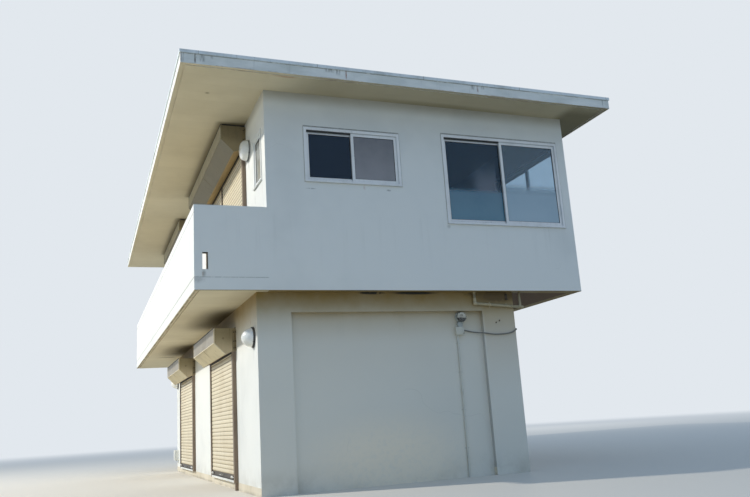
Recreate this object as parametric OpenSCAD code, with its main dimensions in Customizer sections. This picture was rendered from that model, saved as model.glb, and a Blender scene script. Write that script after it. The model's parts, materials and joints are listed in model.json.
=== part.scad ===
// Two-storey lifeguard house in painted reinforced concrete: a set-in ground storey with
// roller shutters, a wider upper storey with a balcony along one long side, and a flat roof.
// Building coordinates: X from the balcony's outer face, Y from the front wall, Z from the ground.

/* [Ground storey] */
// Height from the ground to the underside of the upper floor
ground_h = 2960; // [2700:10:3300]
// Width of the ground storey
ground_w = 4430; // [4000:10:4900]
// Length of the ground storey, front to back
ground_d = 10470; // [10200:10:11500]
// How far the ground storey stands in from the balcony's outer face
ground_in_left = 930; // [700:10:1050]
// How far the ground storey stands back from the front wall above
ground_in_front = 130; // [90:10:400]
// Thickness of the house walls
wall_t = 180; // [140:10:250]
// Width of the column at the balcony side, seen on the front
left_column_w = 530; // [400:10:700]
// Width of the column at the far side, seen on the front
right_column_w = 610; // [400:10:700]
// Length of each column along the side of the building
column_d = 450; // [300:10:600]
// Height of the beam over each end panel
beam_h = 310; // [200:10:450]
// Depth of the recess in front of each end panel
recess = 80; // [40:5:150]
// Thickness of the end panels
panel_t = 150; // [120:10:200]
// Height of the bare concrete ground slab
plinth_h = 125; // [80:5:200]

/* [Upper storey] */
// Width of the upper storey, balcony included
upper_w = 6700; // [6300:10:7400]
// Length of the upper storey, front to back
upper_d = 12850; // [12400:10:14000]
// Thickness of the upper floor and balcony slab
slab_t = 200; // [150:10:260]
// How far the house wall stands in from the balcony's outer face
room_x = 1100; // [1000:10:1400]
// Clear height from the upper floor to the roof
upper_h = 3050; // [2850:10:3400]
// Height of the balcony parapet above the floor
parapet_h = 1100; // [900:10:1300]
// Thickness of the balcony parapet
parapet_t = 110; // [90:5:160]
// Size of the groove along the joint of slab and parapet
joint_groove = 10; // [4:1:20]
// Distance of the coping's groove from the top of the parapet
coping_h = 110; // [60:5:250]
// Distance of the through slot from the balcony's outer face
slot_x = 120; // [115:5:400]
// Width of the through slot in the front end wall
slot_w = 82; // [40:2:150]
// Height of the through slot
slot_h = 257; // [100:1:400]
// Height of the slot's lower edge above the balcony floor
slot_up = 115; // [60:5:300]

/* [Roof] */
// Overhang of the roof over the house walls
overhang = 650; // [400:10:900]
// Overhang of the roof over the balcony parapet
balcony_eave = 270; // [100:10:500]
// Thickness of the roof slab
roof_slab_t = 160; // [120:10:250]
// Thickness of the edge capping on the roof
cap_t = 50; // [30:5:100]
// Width of the edge capping
cap_w = 240; // [120:10:400]
// Projection of the capping beyond the slab edge
cap_out = 15; // [5:1:40]
// Width of the drip grooves under the slab edges
drip_w = 20; // [10:1:40]
// Depth of the drip grooves
drip_depth = 12; // [5:1:25]
// Distance of the drip grooves from the slab edge
drip_in = 55; // [30:5:120]

/* [Roller shutters] */
// Start of the front ground floor shutter, from the front wall
first_shutter_y = 1860; // [1700:10:2300]
// Distance of the back ground floor shutter from the back of the ground storey
second_shutter_y = 1150; // [800:10:2600]
// Width of a ground floor shutter over its guides
ground_shutter_w = 2500; // [2000:10:2900]
// Height of the ground floor housings above the ground
ground_box_z = 2210; // [2000:10:2350]
// Start of the front balcony shutter, from the front wall
third_shutter_y = 1480; // [1400:10:1800]
// Width of the front balcony shutter over its guides
third_shutter_w = 4330; // [3800:10:4700]
// Distance of the back balcony shutter from the back wall's outer face
fourth_shutter_y = 1250; // [1000:10:2200]
// Width of the back balcony shutter over its guides
fourth_shutter_w = 3900; // [3400:10:4100]
// Depth of a ground floor housing
ground_box_d = 370; // [320:10:450]
// Height of a ground floor housing
ground_box_h = 440; // [400:10:500]
// Height of the upright front of a ground floor housing
ground_box_face = 246; // [200:2:320]
// Depth of the underside of a ground floor housing
ground_box_lip = 178; // [140:2:240]
// Depth of a balcony housing
balcony_box_d = 430; // [380:10:520]
// Height of a balcony housing
balcony_box_h = 475; // [430:5:560]
// Height of the upright front of a balcony housing
balcony_box_face = 251; // [200:1:340]
// Depth of the underside of a balcony housing
balcony_box_lip = 206; // [150:2:280]
// Rise of a housing's underside from its outer edge to the guides
box_tilt = 50; // [20:5:70]
// Gap between a balcony housing and the roof above it
box_gap = 35; // [10:5:80]
// How far a housing's end plate stands out round its sheet metal
plate_rim = 3; // [1:1:8]
// Thickness of the housings' sheet metal
sheet_t = 3; // [2:1:6]
// Width of a guide rail along the wall
guide_w = 90; // [70:5:120]
// Projection of a guide rail from the wall
guide_d = 62; // [50:2:90]
// Width of the middle post of a balcony shutter
post_w = 60; // [40:5:90]
// Height of one slat
slat_pitch = 70; // [55:5:120]
// Thickness of the slatted curtain
curtain_t = 14; // [10:1:20]
// How far the slats bulge out
slat_bulge = 6; // [3:1:10]
// Height of the hooked joint between two slats
hook_h = 7; // [4:1:12]
// Depth of the hooked joint between two slats
hook_d = 3; // [1:1:5]
// Height of the curtain's bottom bar
bar_h = 82; // [50:2:120]
// Thickness of the curtain's bottom bar
bar_t = 26; // [20:1:34]
// Height of the door sills
sill_h = 35; // [20:5:60]
// Radius of the wound curtain on its barrel
barrel_r = 105; // [80:5:120]

/* [Windows] */
// Left edge of the small front window, from the balcony's outer face
small_x = 1735; // [1500:5:2000]
// Height of the small window's lower edge above the upper floor
small_up = 1550; // [1300:10:1800]
// Width of the small windows
small_w = 1660; // [1200:10:2000]
// Height of the small windows
small_h = 925; // [600:5:1100]
// Distance of the big front window from the outer face of the far side wall
big_x = 170; // [120:5:400]
// Height of the big window's lower edge above the upper floor
big_up = 945; // [800:5:1100]
// Width of the big windows
big_w = 2335; // [1800:5:2340]
// Height of the big windows
big_h = 1600; // [1200:10:1800]
// Distance of the balcony window from the front wall
side_y = 250; // [200:10:400]
// Height of the balcony window's lower edge above the upper floor
side_up = 1620; // [1300:10:1800]
// Width of the balcony window
side_w = 570; // [400:10:700]
// Height of the balcony window
side_h = 870; // [600:10:900]
// Width of the big window in the far side wall
far_side_w = 2060; // [1700:10:2300]
// Depth of the window frames
frame_d = 96; // [80:2:120]
// Projection of the window frames from the wall
frame_out = 12; // [5:1:25]
// Width of the window frames' members
frame_w = 45; // [30:1:60]
// Width of the sashes' members
sash_w = 48; // [35:1:60]
// Thickness of a sash
sash_t = 28; // [20:1:30]
// Gap between the two sashes of a window
sash_gap = 6; // [3:1:10]
// Thickness of the glass
glass_t = 6; // [4:1:10]
// Depth of the glass in the sash's groove
glass_seat = 10; // [5:1:15]
// Projection of a window's drip nose from its frame
nose_d = 22; // [10:1:40]
// Height of a window's drip nose
nose_h = 20; // [12:1:40]

/* [Fittings] */
// Radius of a ground floor lamp's base
lamp_r = 172; // [120:2:200]
// Thickness of a wall lamp's base
lamp_base_t = 28; // [20:1:60]
// Radius of a ground floor lamp's glass dome
lamp_dome_r = 150; // [100:2:160]
// Radius of the balcony lamp's base
balcony_lamp_r = 188; // [150:2:200]
// Radius of the balcony lamp's glass
balcony_glass_r = 180; // [120:2:186]
// Depth of the balcony lamp's glass
balcony_glass_d = 132; // [60:2:160]
// Height of the ground floor lamps' centres above the ground
ground_lamp_z = 2310; // [2000:10:2500]
// Height of the balcony lamp's centre above the upper floor
balcony_lamp_up = 2470; // [2000:10:2600]
// Distance of the front lamp from the front of the ground storey
first_lamp_y = 290; // [250:10:900]
// Distance of the back lamp from the back of the ground storey
second_lamp_y = 250; // [200:10:400]
// Distance of the balcony lamp from the front balcony shutter
third_lamp_y = 262; // [200:2:400]
// Outer diameter of the drain pipe
drain_d = 48; // [40:1:60]
// Distance of the drain pipe's drop from the far front column
drain_in = 140; // [80:10:600]
// Height of the drain pipe's drop below the upper floor
drain_drop = 195; // [120:5:260]
// Fall of the drain pipe's long run
drain_fall = 67; // [20:1:120]
// How far the drain pipe runs past the side of the ground storey
drain_past = 175; // [150:5:300]
// Outer diameter of the downpipe
downpipe_d = 76; // [50:2:100]
// Gap between the downpipe and the side wall
downpipe_gap = 12; // [5:1:60]
// Distance of the electric meter from the far front column
meter_in = 390; // [250:10:900]
// Gap between the electric meter and the beam above it
meter_gap = 8; // [4:1:60]
// Radius of the electric meter's base
meter_r = 92; // [60:2:110]
// Width of the meter's terminal box
terminal_w = 150; // [100:5:250]
// Height of the meter's terminal box
terminal_h = 134; // [80:2:250]
// Depth of the meter's terminal box
terminal_d = 60; // [40:2:70]
// Diameter of the meter's cable
cable_d = 20; // [12:1:30]
// Width of the outlet box on the side wall
outlet_w = 230; // [120:10:300]
// Height of the outlet box
outlet_h = 255; // [120:5:400]
// Depth of the outlet box
outlet_d = 105; // [60:5:160]
// Height of the outlet box above the ground
outlet_up = 300; // [200:10:900]
// Distance of the outlet box from the back of the ground storey
outlet_y = 70; // [40:5:150]

/* [Hidden] */
$fn = 48;

// Middle of the roof in plan: the origin of the finished part
mid_x = (upper_w + overhang - balcony_eave) / 2;
mid_y = upper_d / 2;

// Ground storey faces
gx0 = ground_in_left;
gx1 = gx0 + ground_w;
gy0 = ground_in_front;
gy1 = gy0 + ground_d;
end_x0 = gx0 + left_column_w;
end_x1 = gx1 - right_column_w;

// Size of the groove under the coping of the parapet
coping_groove = 5;

// Upper storey levels
floor_z = ground_h + slab_t;
roof_z = floor_z + upper_h;
parapet_top = floor_z + parapet_h;

// Shutters: start along the wall and width over the guides
ground_units = [
  [first_shutter_y, ground_shutter_w],
  [gy1 - second_shutter_y - ground_shutter_w, ground_shutter_w]
];
balcony_units = [
  [third_shutter_y, third_shutter_w],
  [upper_d - fourth_shutter_y - fourth_shutter_w, fourth_shutter_w]
];
balcony_box_z = roof_z - box_gap - balcony_box_h;
curtain_out = guide_d / 2;
slot_play = 2;
slot_d = curtain_t + 2 * slat_bulge + 2 * slot_play;
guide_slot = 45;
curtain_seat = 40;
post_slot = 19;
post_seat = 15;
housing_entry = 120;

// Windows: left edge and lower edge on their wall, width, height
front_windows = [
  [small_x, floor_z + small_up, small_w, small_h],
  [upper_w - big_x - big_w, floor_z + big_up, big_w, big_h]
];
back_windows = [
  for (win = front_windows) [room_x + upper_w - win[0] - win[2], win[1], win[2], win[3]]
];
side_window = [side_y, floor_z + side_up, side_w, side_h];
right_windows = [
  [big_x, floor_z + big_up, far_side_w, big_h],
  [upper_d * 3 / 4 - small_w / 2, floor_z + small_up, small_w, small_h]
];

// Basic helpers
module placed() {
  translate([-mid_x, -mid_y, 0]) children();
}

module block(x, y, z) {
  translate([x[0], y[0], z[0]]) cube([x[1] - x[0], y[1] - y[0], z[1] - z[0]]);
}

// A section drawn as (x, z), run along Y between two values
module along_y(y0, y1) {
  translate([0, y1, 0]) rotate([90, 0, 0]) linear_extrude(y1 - y0) children();
}

// A ring of a given width inside a rectangle, as a drip groove
module groove_ring(x, y, z) {
  difference() {
    block([x[0] + drip_in, x[1] - drip_in], [y[0] + drip_in, y[1] - drip_in], [z - 1, z + drip_depth]);
    block([x[0] + drip_in + drip_w, x[1] - drip_in - drip_w],
      [y[0] + drip_in + drip_w, y[1] - drip_in - drip_w], [z - 2, z + drip_depth + 1]);
  }
}

// Ground storey
module ground_slab() {
  color("darkgray") placed() difference() {
    block([gx0, gx1], [gy0, gy1], [0, plinth_h]);
    for (y = [[gy0 - 1, gy0 + recess], [gy1 - recess, gy1 + 1]])
      block([end_x0, end_x1], y, [-1, plinth_h + 1]);
  }
}

module ground_columns() {
  color("whitesmoke") placed()
    for (x = [[gx0, end_x0], [end_x1, gx1]], y = [[gy0, gy0 + column_d], [gy1 - column_d, gy1]])
      block(x, y, [plinth_h, ground_h]);
}

module ground_beams() {
  color("whitesmoke") placed()
    for (y = [[gy0, gy0 + column_d], [gy1 - column_d, gy1]])
      block([end_x0, end_x1], y, [ground_h - beam_h, ground_h]);
}

module end_panels() {
  color("lightgray") placed()
    for (y = [[gy0 + recess, gy0 + recess + panel_t], [gy1 - recess - panel_t, gy1 - recess]])
      block([end_x0, end_x1], y, [plinth_h, ground_h - beam_h]);
}

module lower_left_piers() {
  starts = [gy0 + column_d, for (u = ground_units) u[0] + u[1] - guide_w];
  ends = [for (u = ground_units) u[0] + guide_w, gy1 - column_d];
  color("whitesmoke") placed()
    for (i = [0:2])
      block([gx0, gx0 + wall_t], [starts[i], ends[i]], [plinth_h, ground_box_z]);
}

module lower_left_header() {
  color("whitesmoke") placed()
    block([gx0, gx0 + wall_t], [gy0 + column_d, gy1 - column_d], [ground_box_z, ground_h]);
}

module lower_right_wall() {
  color("whitesmoke") placed()
    block([gx1 - wall_t, gx1], [gy0 + column_d, gy1 - column_d], [plinth_h, ground_h]);
}

// Upper floor and balcony
module balcony_slab() {
  color("whitesmoke") placed() difference() {
    block([0, room_x], [0, upper_d], [ground_h, floor_z]);
    block([drip_in, drip_in + drip_w], [-1, upper_d + 1], [ground_h - 1, ground_h + drip_depth]);
  }
}

module upper_floor() {
  color("whitesmoke") placed()
    block([room_x, upper_w - wall_t], [wall_t, upper_d - wall_t], [ground_h, floor_z]);
}

module balcony_parapet() {
  color("whitesmoke") placed() difference() {
    block([0, parapet_t], [0, upper_d], [floor_z, parapet_top]);
    translate([0, 0, floor_z]) along_y(-1, upper_d + 1)
      polygon([[-1, -1], [joint_groove, -1], [joint_groove, 0], [0, joint_groove], [-1, joint_groove]]);
    translate([0, 0, parapet_top - coping_h]) along_y(-1, upper_d + 1)
      polygon([
        [-1, -coping_groove], [0, -coping_groove], [coping_groove, 0], [0, coping_groove], [-1, coping_groove]
      ]);
  }
}

module balcony_end(y) {
  color("whitesmoke") placed() block([parapet_t, room_x], y, [floor_z, parapet_top]);
}

module balcony_front_end() {
  difference() {
    balcony_end([0, parapet_t]);
    placed() block([slot_x, slot_x + slot_w], [-1, parapet_t + 1],
      [floor_z + slot_up, floor_z + slot_up + slot_h]);
  }
}

module balcony_back_end() { balcony_end([upper_d - parapet_t, upper_d]); }

// Upper walls
module upper_front_wall() {
  color("whitesmoke") placed() difference() {
    block([room_x, upper_w], [0, wall_t], [ground_h, roof_z]);
    for (win = front_windows)
      block([win[0], win[0] + win[2]], [-1, wall_t + 1], [win[1], win[1] + win[3]]);
  }
}

module upper_back_wall() {
  color("whitesmoke") placed() difference() {
    block([room_x, upper_w], [upper_d - wall_t, upper_d], [ground_h, roof_z]);
    for (win = back_windows)
      block([win[0], win[0] + win[2]], [upper_d - wall_t - 1, upper_d + 1], [win[1], win[1] + win[3]]);
  }
}

module upper_right_wall() {
  color("whitesmoke") placed() difference() {
    block([upper_w - wall_t, upper_w], [wall_t, upper_d - wall_t], [ground_h, roof_z]);
    for (win = right_windows)
      block([upper_w - wall_t - 1, upper_w + 1], [win[0], win[0] + win[2]], [win[1], win[1] + win[3]]);
  }
}

module upper_left_piers() {
  starts = [wall_t, for (u = balcony_units) u[0] + u[1] - guide_w];
  ends = [for (u = balcony_units) u[0] + guide_w, upper_d - wall_t];
  color("whitesmoke") placed() difference() {
    for (i = [0:2])
      block([room_x, room_x + wall_t], [starts[i], ends[i]], [floor_z, balcony_box_z]);
    block([room_x - 1, room_x + wall_t + 1], [side_window[0], side_window[0] + side_window[2]],
      [side_window[1], side_window[1] + side_window[3]]);
  }
}

module upper_left_header() {
  color("whitesmoke") placed()
    block([room_x, room_x + wall_t], [wall_t, upper_d - wall_t], [balcony_box_z, roof_z]);
}

// Roof
module roof_slab() {
  x = [-balcony_eave + cap_out, upper_w + overhang - cap_out];
  y = [-overhang + cap_out, upper_d + overhang - cap_out];
  color("whitesmoke") placed() difference() {
    block(x, y, [roof_z, roof_z + roof_slab_t]);
    groove_ring(x, y, roof_z);
  }
}

module roof_capping() {
  x = [-balcony_eave, upper_w + overhang];
  y = [-overhang, upper_d + overhang];
  z = roof_z + roof_slab_t;
  color("silver") placed() difference() {
    block(x, y, [z, z + cap_t]);
    block([x[0] + cap_w, x[1] - cap_w], [y[0] + cap_w, y[1] - cap_w], [z - 1, z + cap_t + 1]);
  }
}

// Roller shutters. Each is drawn on a wall whose outer face is x = 0, the outside towards -X.

// Outline of a housing, anticlockwise: a box is [depth, height, upright front, underside]
function box_outline(box) = [
  [0, box_tilt], [0, box[1]], [-box[0], box[1]], [-box[0], box[1] - box[2]], [-box[3], 0], [-guide_d, box_tilt]
];

// Corner b of an outline, drawn in by t: a is the corner before it and c the one after
function inward(a, b) = [a[1] - b[1], b[0] - a[0]] / norm(b - a);
function drawn_in(a, b, c, t) = b + t * (inward(a, b) + inward(b, c)) / (1 + inward(a, b) * inward(b, c));

module box_section(box, t) {
  p = box_outline(box);
  n = len(p);
  polygon([for (i = [0:n - 1]) drawn_in(p[(i + n - 1) % n], p[i], p[(i + 1) % n], t)]);
}

// End plate of a housing, standing out round the sheet metal but not into the wall
module end_plate(box) {
  intersection() {
    box_section(box, -plate_rim);
    translate([-2 * box[0], -box[1]]) square([2 * box[0], 3 * box[1]]);
  }
}

ground_box = [ground_box_d, ground_box_h, ground_box_face, ground_box_lip];
balcony_box = [balcony_box_d, balcony_box_h, balcony_box_face, balcony_box_lip];
plate_t = 5;

module shutter_box(w, box) {
  difference() {
    union() {
      along_y(0, w) box_section(box, 0);
      for (y = [0, w - plate_t]) along_y(y, y + plate_t) end_plate(box);
    }
    along_y(plate_t, w - plate_t) box_section(box, sheet_t);
    block([-curtain_out - slot_d / 2, -curtain_out + slot_d / 2],
      [guide_w - guide_slot, w - guide_w + guide_slot], [box_tilt - plate_rim - 1, box_tilt + sheet_t + 1]);
  }
}

// A guide rail: a channel open towards the curtain, with a wider chamber behind its lips
module guide_rail(h, opens_back) {
  mouth = 12;
  chamber = 6;
  y = opens_back ? [guide_w - guide_slot, guide_w + 1] : [-1, guide_slot];
  behind = opens_back ? [y[0], guide_w - mouth] : [mouth, y[1]];
  difference() {
    block([-guide_d, 0], [0, guide_w], [0, h]);
    block([-curtain_out - slot_d / 2, -curtain_out + slot_d / 2], y, [-1, h + 1]);
    block([-curtain_out - slot_d / 2 - chamber, -curtain_out + slot_d / 2 + chamber], behind, [-1, h + 1]);
  }
}

// Outline of one slat as (x, z): its rounded front from the bottom up, its back from the top down
front_steps = 4;
back_step = 5;
knuckle_h = 10;
bevel_h = 4;

function slat_front(z) = [
  [-curtain_t / 2 + hook_d, z], [-curtain_t / 2 + hook_d, z + hook_h],
  for (k = [0:front_steps]) [
    -curtain_t / 2 - slat_bulge * sin(180 * k / front_steps),
    z + hook_h + (slat_pitch - hook_h) * k / front_steps
  ]
];

function slat_back(z) = [
  [curtain_t / 2 - back_step, z + slat_pitch - bevel_h], [curtain_t / 2 - back_step, z + knuckle_h + bevel_h],
  [curtain_t / 2, z + knuckle_h], [curtain_t / 2, z]
];

module curtain(y0, y1, h) {
  count = ceil(h / slat_pitch);
  along_y(y0, y1) intersection() {
    polygon(concat(
      [for (i = [0:count - 1]) each slat_front(i * slat_pitch)],
      [[curtain_t / 2, count * slat_pitch]],
      [for (i = [count - 1:-1:0]) each slat_back(i * slat_pitch)]));
    translate([-curtain_t - slat_bulge, 0]) square([2 * curtain_t + 2 * slat_bulge, h]);
  }
}

// The bays of a shutter: pairs of curtain edges along the wall
function bays(w, posts) = posts == 0
  ? [[guide_w - curtain_seat, w - guide_w + curtain_seat]]
  : [
      [guide_w - curtain_seat, (w - post_w) / 2 + post_seat],
      [(w + post_w) / 2 - post_seat, w - guide_w + curtain_seat]
    ];

module on_ground_wall(u) {
  translate([gx0, u[0], 0]) children();
}

module on_balcony_wall(u) {
  translate([room_x, u[0], 0]) children();
}

module shutter_curtains(w, sill_z, box_z, posts) {
  bottom = sill_z + bar_h;
  for (bay = bays(w, posts))
    translate([-curtain_out, 0, bottom]) curtain(bay[0], bay[1], box_z + housing_entry - bottom);
}

// Bottom bars, each with a foot that stands out between its guides
foot_out = 14;
foot_h = 12;
foot_in = 60;

module shutter_bars(w, sill_z, posts) {
  for (bay = bays(w, posts)) {
    block([-curtain_out - bar_t / 2, -curtain_out + bar_t / 2], bay, [sill_z, sill_z + bar_h]);
    block([-curtain_out - bar_t / 2 - foot_out, -curtain_out], [bay[0] + foot_in, bay[1] - foot_in],
      [sill_z, sill_z + foot_h]);
  }
}

module ground_shutters() {
  color("tan") placed() for (u = ground_units)
    on_ground_wall(u) shutter_curtains(u[1], plinth_h + sill_h, ground_box_z, 0);
}

module balcony_shutters() {
  color("tan") placed() for (u = balcony_units)
    on_balcony_wall(u) shutter_curtains(u[1], floor_z + sill_h, balcony_box_z, 1);
}

module shutter_bottom_bars() {
  color("dimgray") placed() {
    for (u = ground_units) on_ground_wall(u) shutter_bars(u[1], plinth_h + sill_h, 0);
    for (u = balcony_units) on_balcony_wall(u) shutter_bars(u[1], floor_z + sill_h, 1);
  }
}

module ground_shutter_boxes() {
  color("beige") placed() for (u = ground_units)
    on_ground_wall(u) translate([0, 0, ground_box_z]) shutter_box(u[1], ground_box);
}

module balcony_shutter_boxes() {
  color("beige") placed() for (u = balcony_units)
    on_balcony_wall(u) translate([0, 0, balcony_box_z]) shutter_box(u[1], balcony_box);
}

// The ground floor guides end at the sills, apart from a leg under the front one
leg_w = 64;
leg_d = 46;

module ground_shutter_guides() {
  h = ground_box_z + box_tilt - plinth_h;
  color("dimgray") placed() {
    for (u = ground_units) on_ground_wall(u) translate([0, 0, plinth_h]) {
      guide_rail(h, true);
      translate([0, u[1] - guide_w, 0]) guide_rail(h, false);
    }
    on_ground_wall(ground_units[0])
      block([-leg_d, 0], [(guide_w - leg_w) / 2, (guide_w + leg_w) / 2], [0, plinth_h]);
  }
}

module balcony_shutter_guides() {
  h = balcony_box_z + box_tilt - floor_z;
  color("dimgray") placed() for (u = balcony_units) on_balcony_wall(u) translate([0, 0, floor_z]) {
    guide_rail(h, true);
    translate([0, u[1] - guide_w, 0]) guide_rail(h, false);
    middle_post([(u[1] - post_w) / 2, (u[1] + post_w) / 2], h);
  }
}

module middle_post(y, h) {
  difference() {
    block([-guide_d, 0], y, [0, h]);
    for (slot = [[y[0] - 1, y[0] + post_slot], [y[1] - post_slot, y[1] + 1]])
      block([-curtain_out - slot_d / 2, -curtain_out + slot_d / 2], slot, [-1, h + 1]);
  }
}

// The wound curtain between two discs, on an axle that reaches the end plates
axle_r = 30;
disc_t = 6;
disc_rim = 12;
barrel_play = 60;
barrel_drop = 24;

module barrel(w, box) {
  translate([-curtain_out - curtain_t / 2 - barrel_r, 0, box[1] - barrel_r - barrel_drop]) rotate([-90, 0, 0]) {
    translate([0, 0, plate_t]) cylinder(r = axle_r, h = w - 2 * plate_t);
    translate([0, 0, barrel_play]) cylinder(r = barrel_r, h = w - 2 * barrel_play);
    for (y = [barrel_play - disc_t, w - barrel_play])
      translate([0, 0, y]) cylinder(r = barrel_r + disc_rim, h = disc_t);
  }
}

module shutter_barrels() {
  color("gray") placed() {
    for (u = ground_units) on_ground_wall(u) translate([0, 0, ground_box_z]) barrel(u[1], ground_box);
    for (u = balcony_units) on_balcony_wall(u) translate([0, 0, balcony_box_z]) barrel(u[1], balcony_box);
  }
}

module door_sills() {
  color("white") placed() {
    for (u = ground_units)
      block([gx0 - guide_d, gx0 + wall_t], [u[0] + guide_w, u[0] + u[1] - guide_w], [plinth_h, plinth_h + sill_h]);
    for (u = balcony_units) for (bay = [[guide_w, (u[1] - post_w) / 2], [(u[1] + post_w) / 2, u[1] - guide_w]])
      block([room_x - guide_d, room_x + wall_t], [u[0] + bay[0], u[0] + bay[1]], [floor_z, floor_z + sill_h]);
  }
}

// Windows, drawn with the outer wall face at y = 0, the room towards +Y and the corner at the origin
track_h = 12;
track_t = 4;
sash_play = 2;
first_sash = 10;
pane_y = 20;

// Frame with a sloping drip nose along its lower edge
module window_frame(w, h) {
  difference() {
    block([0, w], [-frame_out, frame_d - frame_out], [0, h]);
    block([frame_w, w - frame_w], [-frame_out - 1, frame_d], [frame_w, h - frame_w]);
  }
  translate([0, -frame_out, 0]) rotate([90, 0, 90]) linear_extrude(w)
    polygon([[-nose_d, 0], [0, 0], [0, nose_h], [-nose_d, nose_h / 2]]);
}

module sliding_frame(w, h) {
  window_frame(w, h);
  for (i = [0, 1], z = [frame_w, h - frame_w - track_h])
    block([frame_w, w - frame_w], track_y(i), [z, z + track_h]);
}

function sash_y(i) = first_sash + i * (sash_t + sash_gap);
function track_y(i) = [sash_y(i) + (sash_t - track_t) / 2, sash_y(i) + (sash_t + track_t) / 2];
function sash_width(w) = (w - 2 * frame_w + sash_w) / 2;
function sash_x(w, i) = i == 0 ? w - frame_w - sash_width(w) : frame_w;

// One sash: i = 0 is the outer one on the right, i = 1 the inner one on the left
module sash(w, h, i) {
  z = [frame_w + sash_play, h - frame_w - sash_play];
  x = [sash_x(w, i), sash_x(w, i) + sash_width(w)];
  difference() {
    block(x, [sash_y(i), sash_y(i) + sash_t], z);
    block([x[0] + sash_w, x[1] - sash_w], [sash_y(i) - 1, sash_y(i) + sash_t + 1], [z[0] + sash_w, z[1] - sash_w]);
    sash_glass(w, h, i);
    for (track_z = [z[0] - 1, z[1] - track_h + 1])
      block([x[0] - 1, x[1] + 1], track_y(i), [track_z, track_z + track_h]);
  }
}

module sash_glass(w, h, i) {
  inset = sash_w - glass_seat;
  mid = sash_y(i) + sash_t / 2;
  block([sash_x(w, i) + inset, sash_x(w, i) + sash_width(w) - inset], [mid - glass_t / 2, mid + glass_t / 2],
    [frame_w + sash_play + inset, h - frame_w - sash_play - inset]);
}

module on_front_wall(win) {
  translate([win[0], 0, win[1]]) children();
}

module on_back_wall(win) {
  translate([win[0] + win[2], upper_d, win[1]]) rotate([0, 0, 180]) children();
}

module on_right_wall(win) {
  translate([upper_w, win[0], win[1]]) rotate([0, 0, 90]) children();
}

module on_left_wall(win) {
  translate([room_x, win[0] + win[2], win[1]]) rotate([0, 0, -90]) children();
}

module front_window_frames() {
  color("gainsboro") placed() for (win = front_windows)
    on_front_wall(win) sliding_frame(win[2], win[3]);
}

module front_window_sashes() {
  color("gainsboro") placed() for (win = front_windows, i = [0, 1])
    on_front_wall(win) sash(win[2], win[3], i);
}

module front_window_glass() {
  color("darkslategray") placed() for (win = front_windows, i = [0, 1])
    on_front_wall(win) sash_glass(win[2], win[3], i);
}

// The balcony window: a frame with one sash, fixed in it, and its pane
module side_window_frame() {
  color("gainsboro") placed() on_left_wall(side_window) difference() {
    union() {
      window_frame(side_w, side_h);
      side_sash();
    }
    side_pane();
  }
}

module side_sash() {
  difference() {
    block([frame_w, side_w - frame_w], [first_sash, first_sash + sash_t], [frame_w, side_h - frame_w]);
    block([frame_w + sash_w, side_w - frame_w - sash_w], [first_sash - 1, first_sash + sash_t + 1],
      [frame_w + sash_w, side_h - frame_w - sash_w]);
  }
}

module side_pane() {
  inset = frame_w + sash_w - glass_seat;
  block([inset, side_w - inset], [pane_y, pane_y + glass_t], [inset, side_h - inset]);
}

module side_window_glass() {
  color("darkslategray") placed() on_left_wall(side_window) side_pane();
}

module rear_window_frames() {
  color("gainsboro") placed() {
    for (win = back_windows) on_back_wall(win) sliding_frame(win[2], win[3]);
    for (win = right_windows) on_right_wall(win) sliding_frame(win[2], win[3]);
  }
}

module rear_window_sashes() {
  color("gainsboro") placed() for (i = [0, 1]) {
    for (win = back_windows) on_back_wall(win) sash(win[2], win[3], i);
    for (win = right_windows) on_right_wall(win) sash(win[2], win[3], i);
  }
}

module rear_window_glass() {
  color("darkslategray") placed() for (i = [0, 1]) {
    for (win = back_windows) on_back_wall(win) sash_glass(win[2], win[3], i);
    for (win = right_windows) on_right_wall(win) sash_glass(win[2], win[3], i);
  }
}

// Wall lamps: places as (wall face x, y, z), and sizes as [radius of the base, radius and depth of the glass]
lamps = [
  [gx0, gy0 + first_lamp_y, ground_lamp_z],
  [gx0, gy1 - second_lamp_y, ground_lamp_z],
  [room_x, third_shutter_y - third_lamp_y, floor_z + balcony_lamp_up]
];
ground_lamp = [lamp_r, lamp_dome_r, lamp_dome_r];
balcony_lamp = [balcony_lamp_r, balcony_glass_r, balcony_glass_d];
lamp_sizes = [ground_lamp, ground_lamp, balcony_lamp];
lamp_fullness = [2, 2, 2.7];
lamp_step = 10;

module on_lamp(p) {
  translate(p) rotate([0, -90, 0]) children();
}

module lamp_bases() {
  color("darkgray") placed() for (i = [0:len(lamps) - 1]) {
    r = lamp_sizes[i][0];
    on_lamp(lamps[i]) rotate_extrude() polygon([
      [0, 0], [r, 0], [r, lamp_base_t - 2 * lamp_step], [r - lamp_step, lamp_base_t - lamp_step],
      [r - lamp_step, lamp_base_t], [0, lamp_base_t]
    ]);
  }
}

// The domes are half round in section, and the balcony's lens is flatter with fuller shoulders
dome_steps = 10;

module lamp_domes() {
  color("white") placed() for (i = [0:len(lamps) - 1]) {
    r = lamp_sizes[i][1];
    d = lamp_sizes[i][2];
    share = 2 / lamp_fullness[i];
    on_lamp(lamps[i]) translate([0, 0, lamp_base_t]) rotate_extrude() polygon([
      [0, 0], [r, 0],
      for (k = [1:dome_steps - 1])
        [r * pow(cos(90 * k / dome_steps), share), d * pow(sin(90 * k / dome_steps), share)],
      [0, d]
    ]);
  }
}

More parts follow.
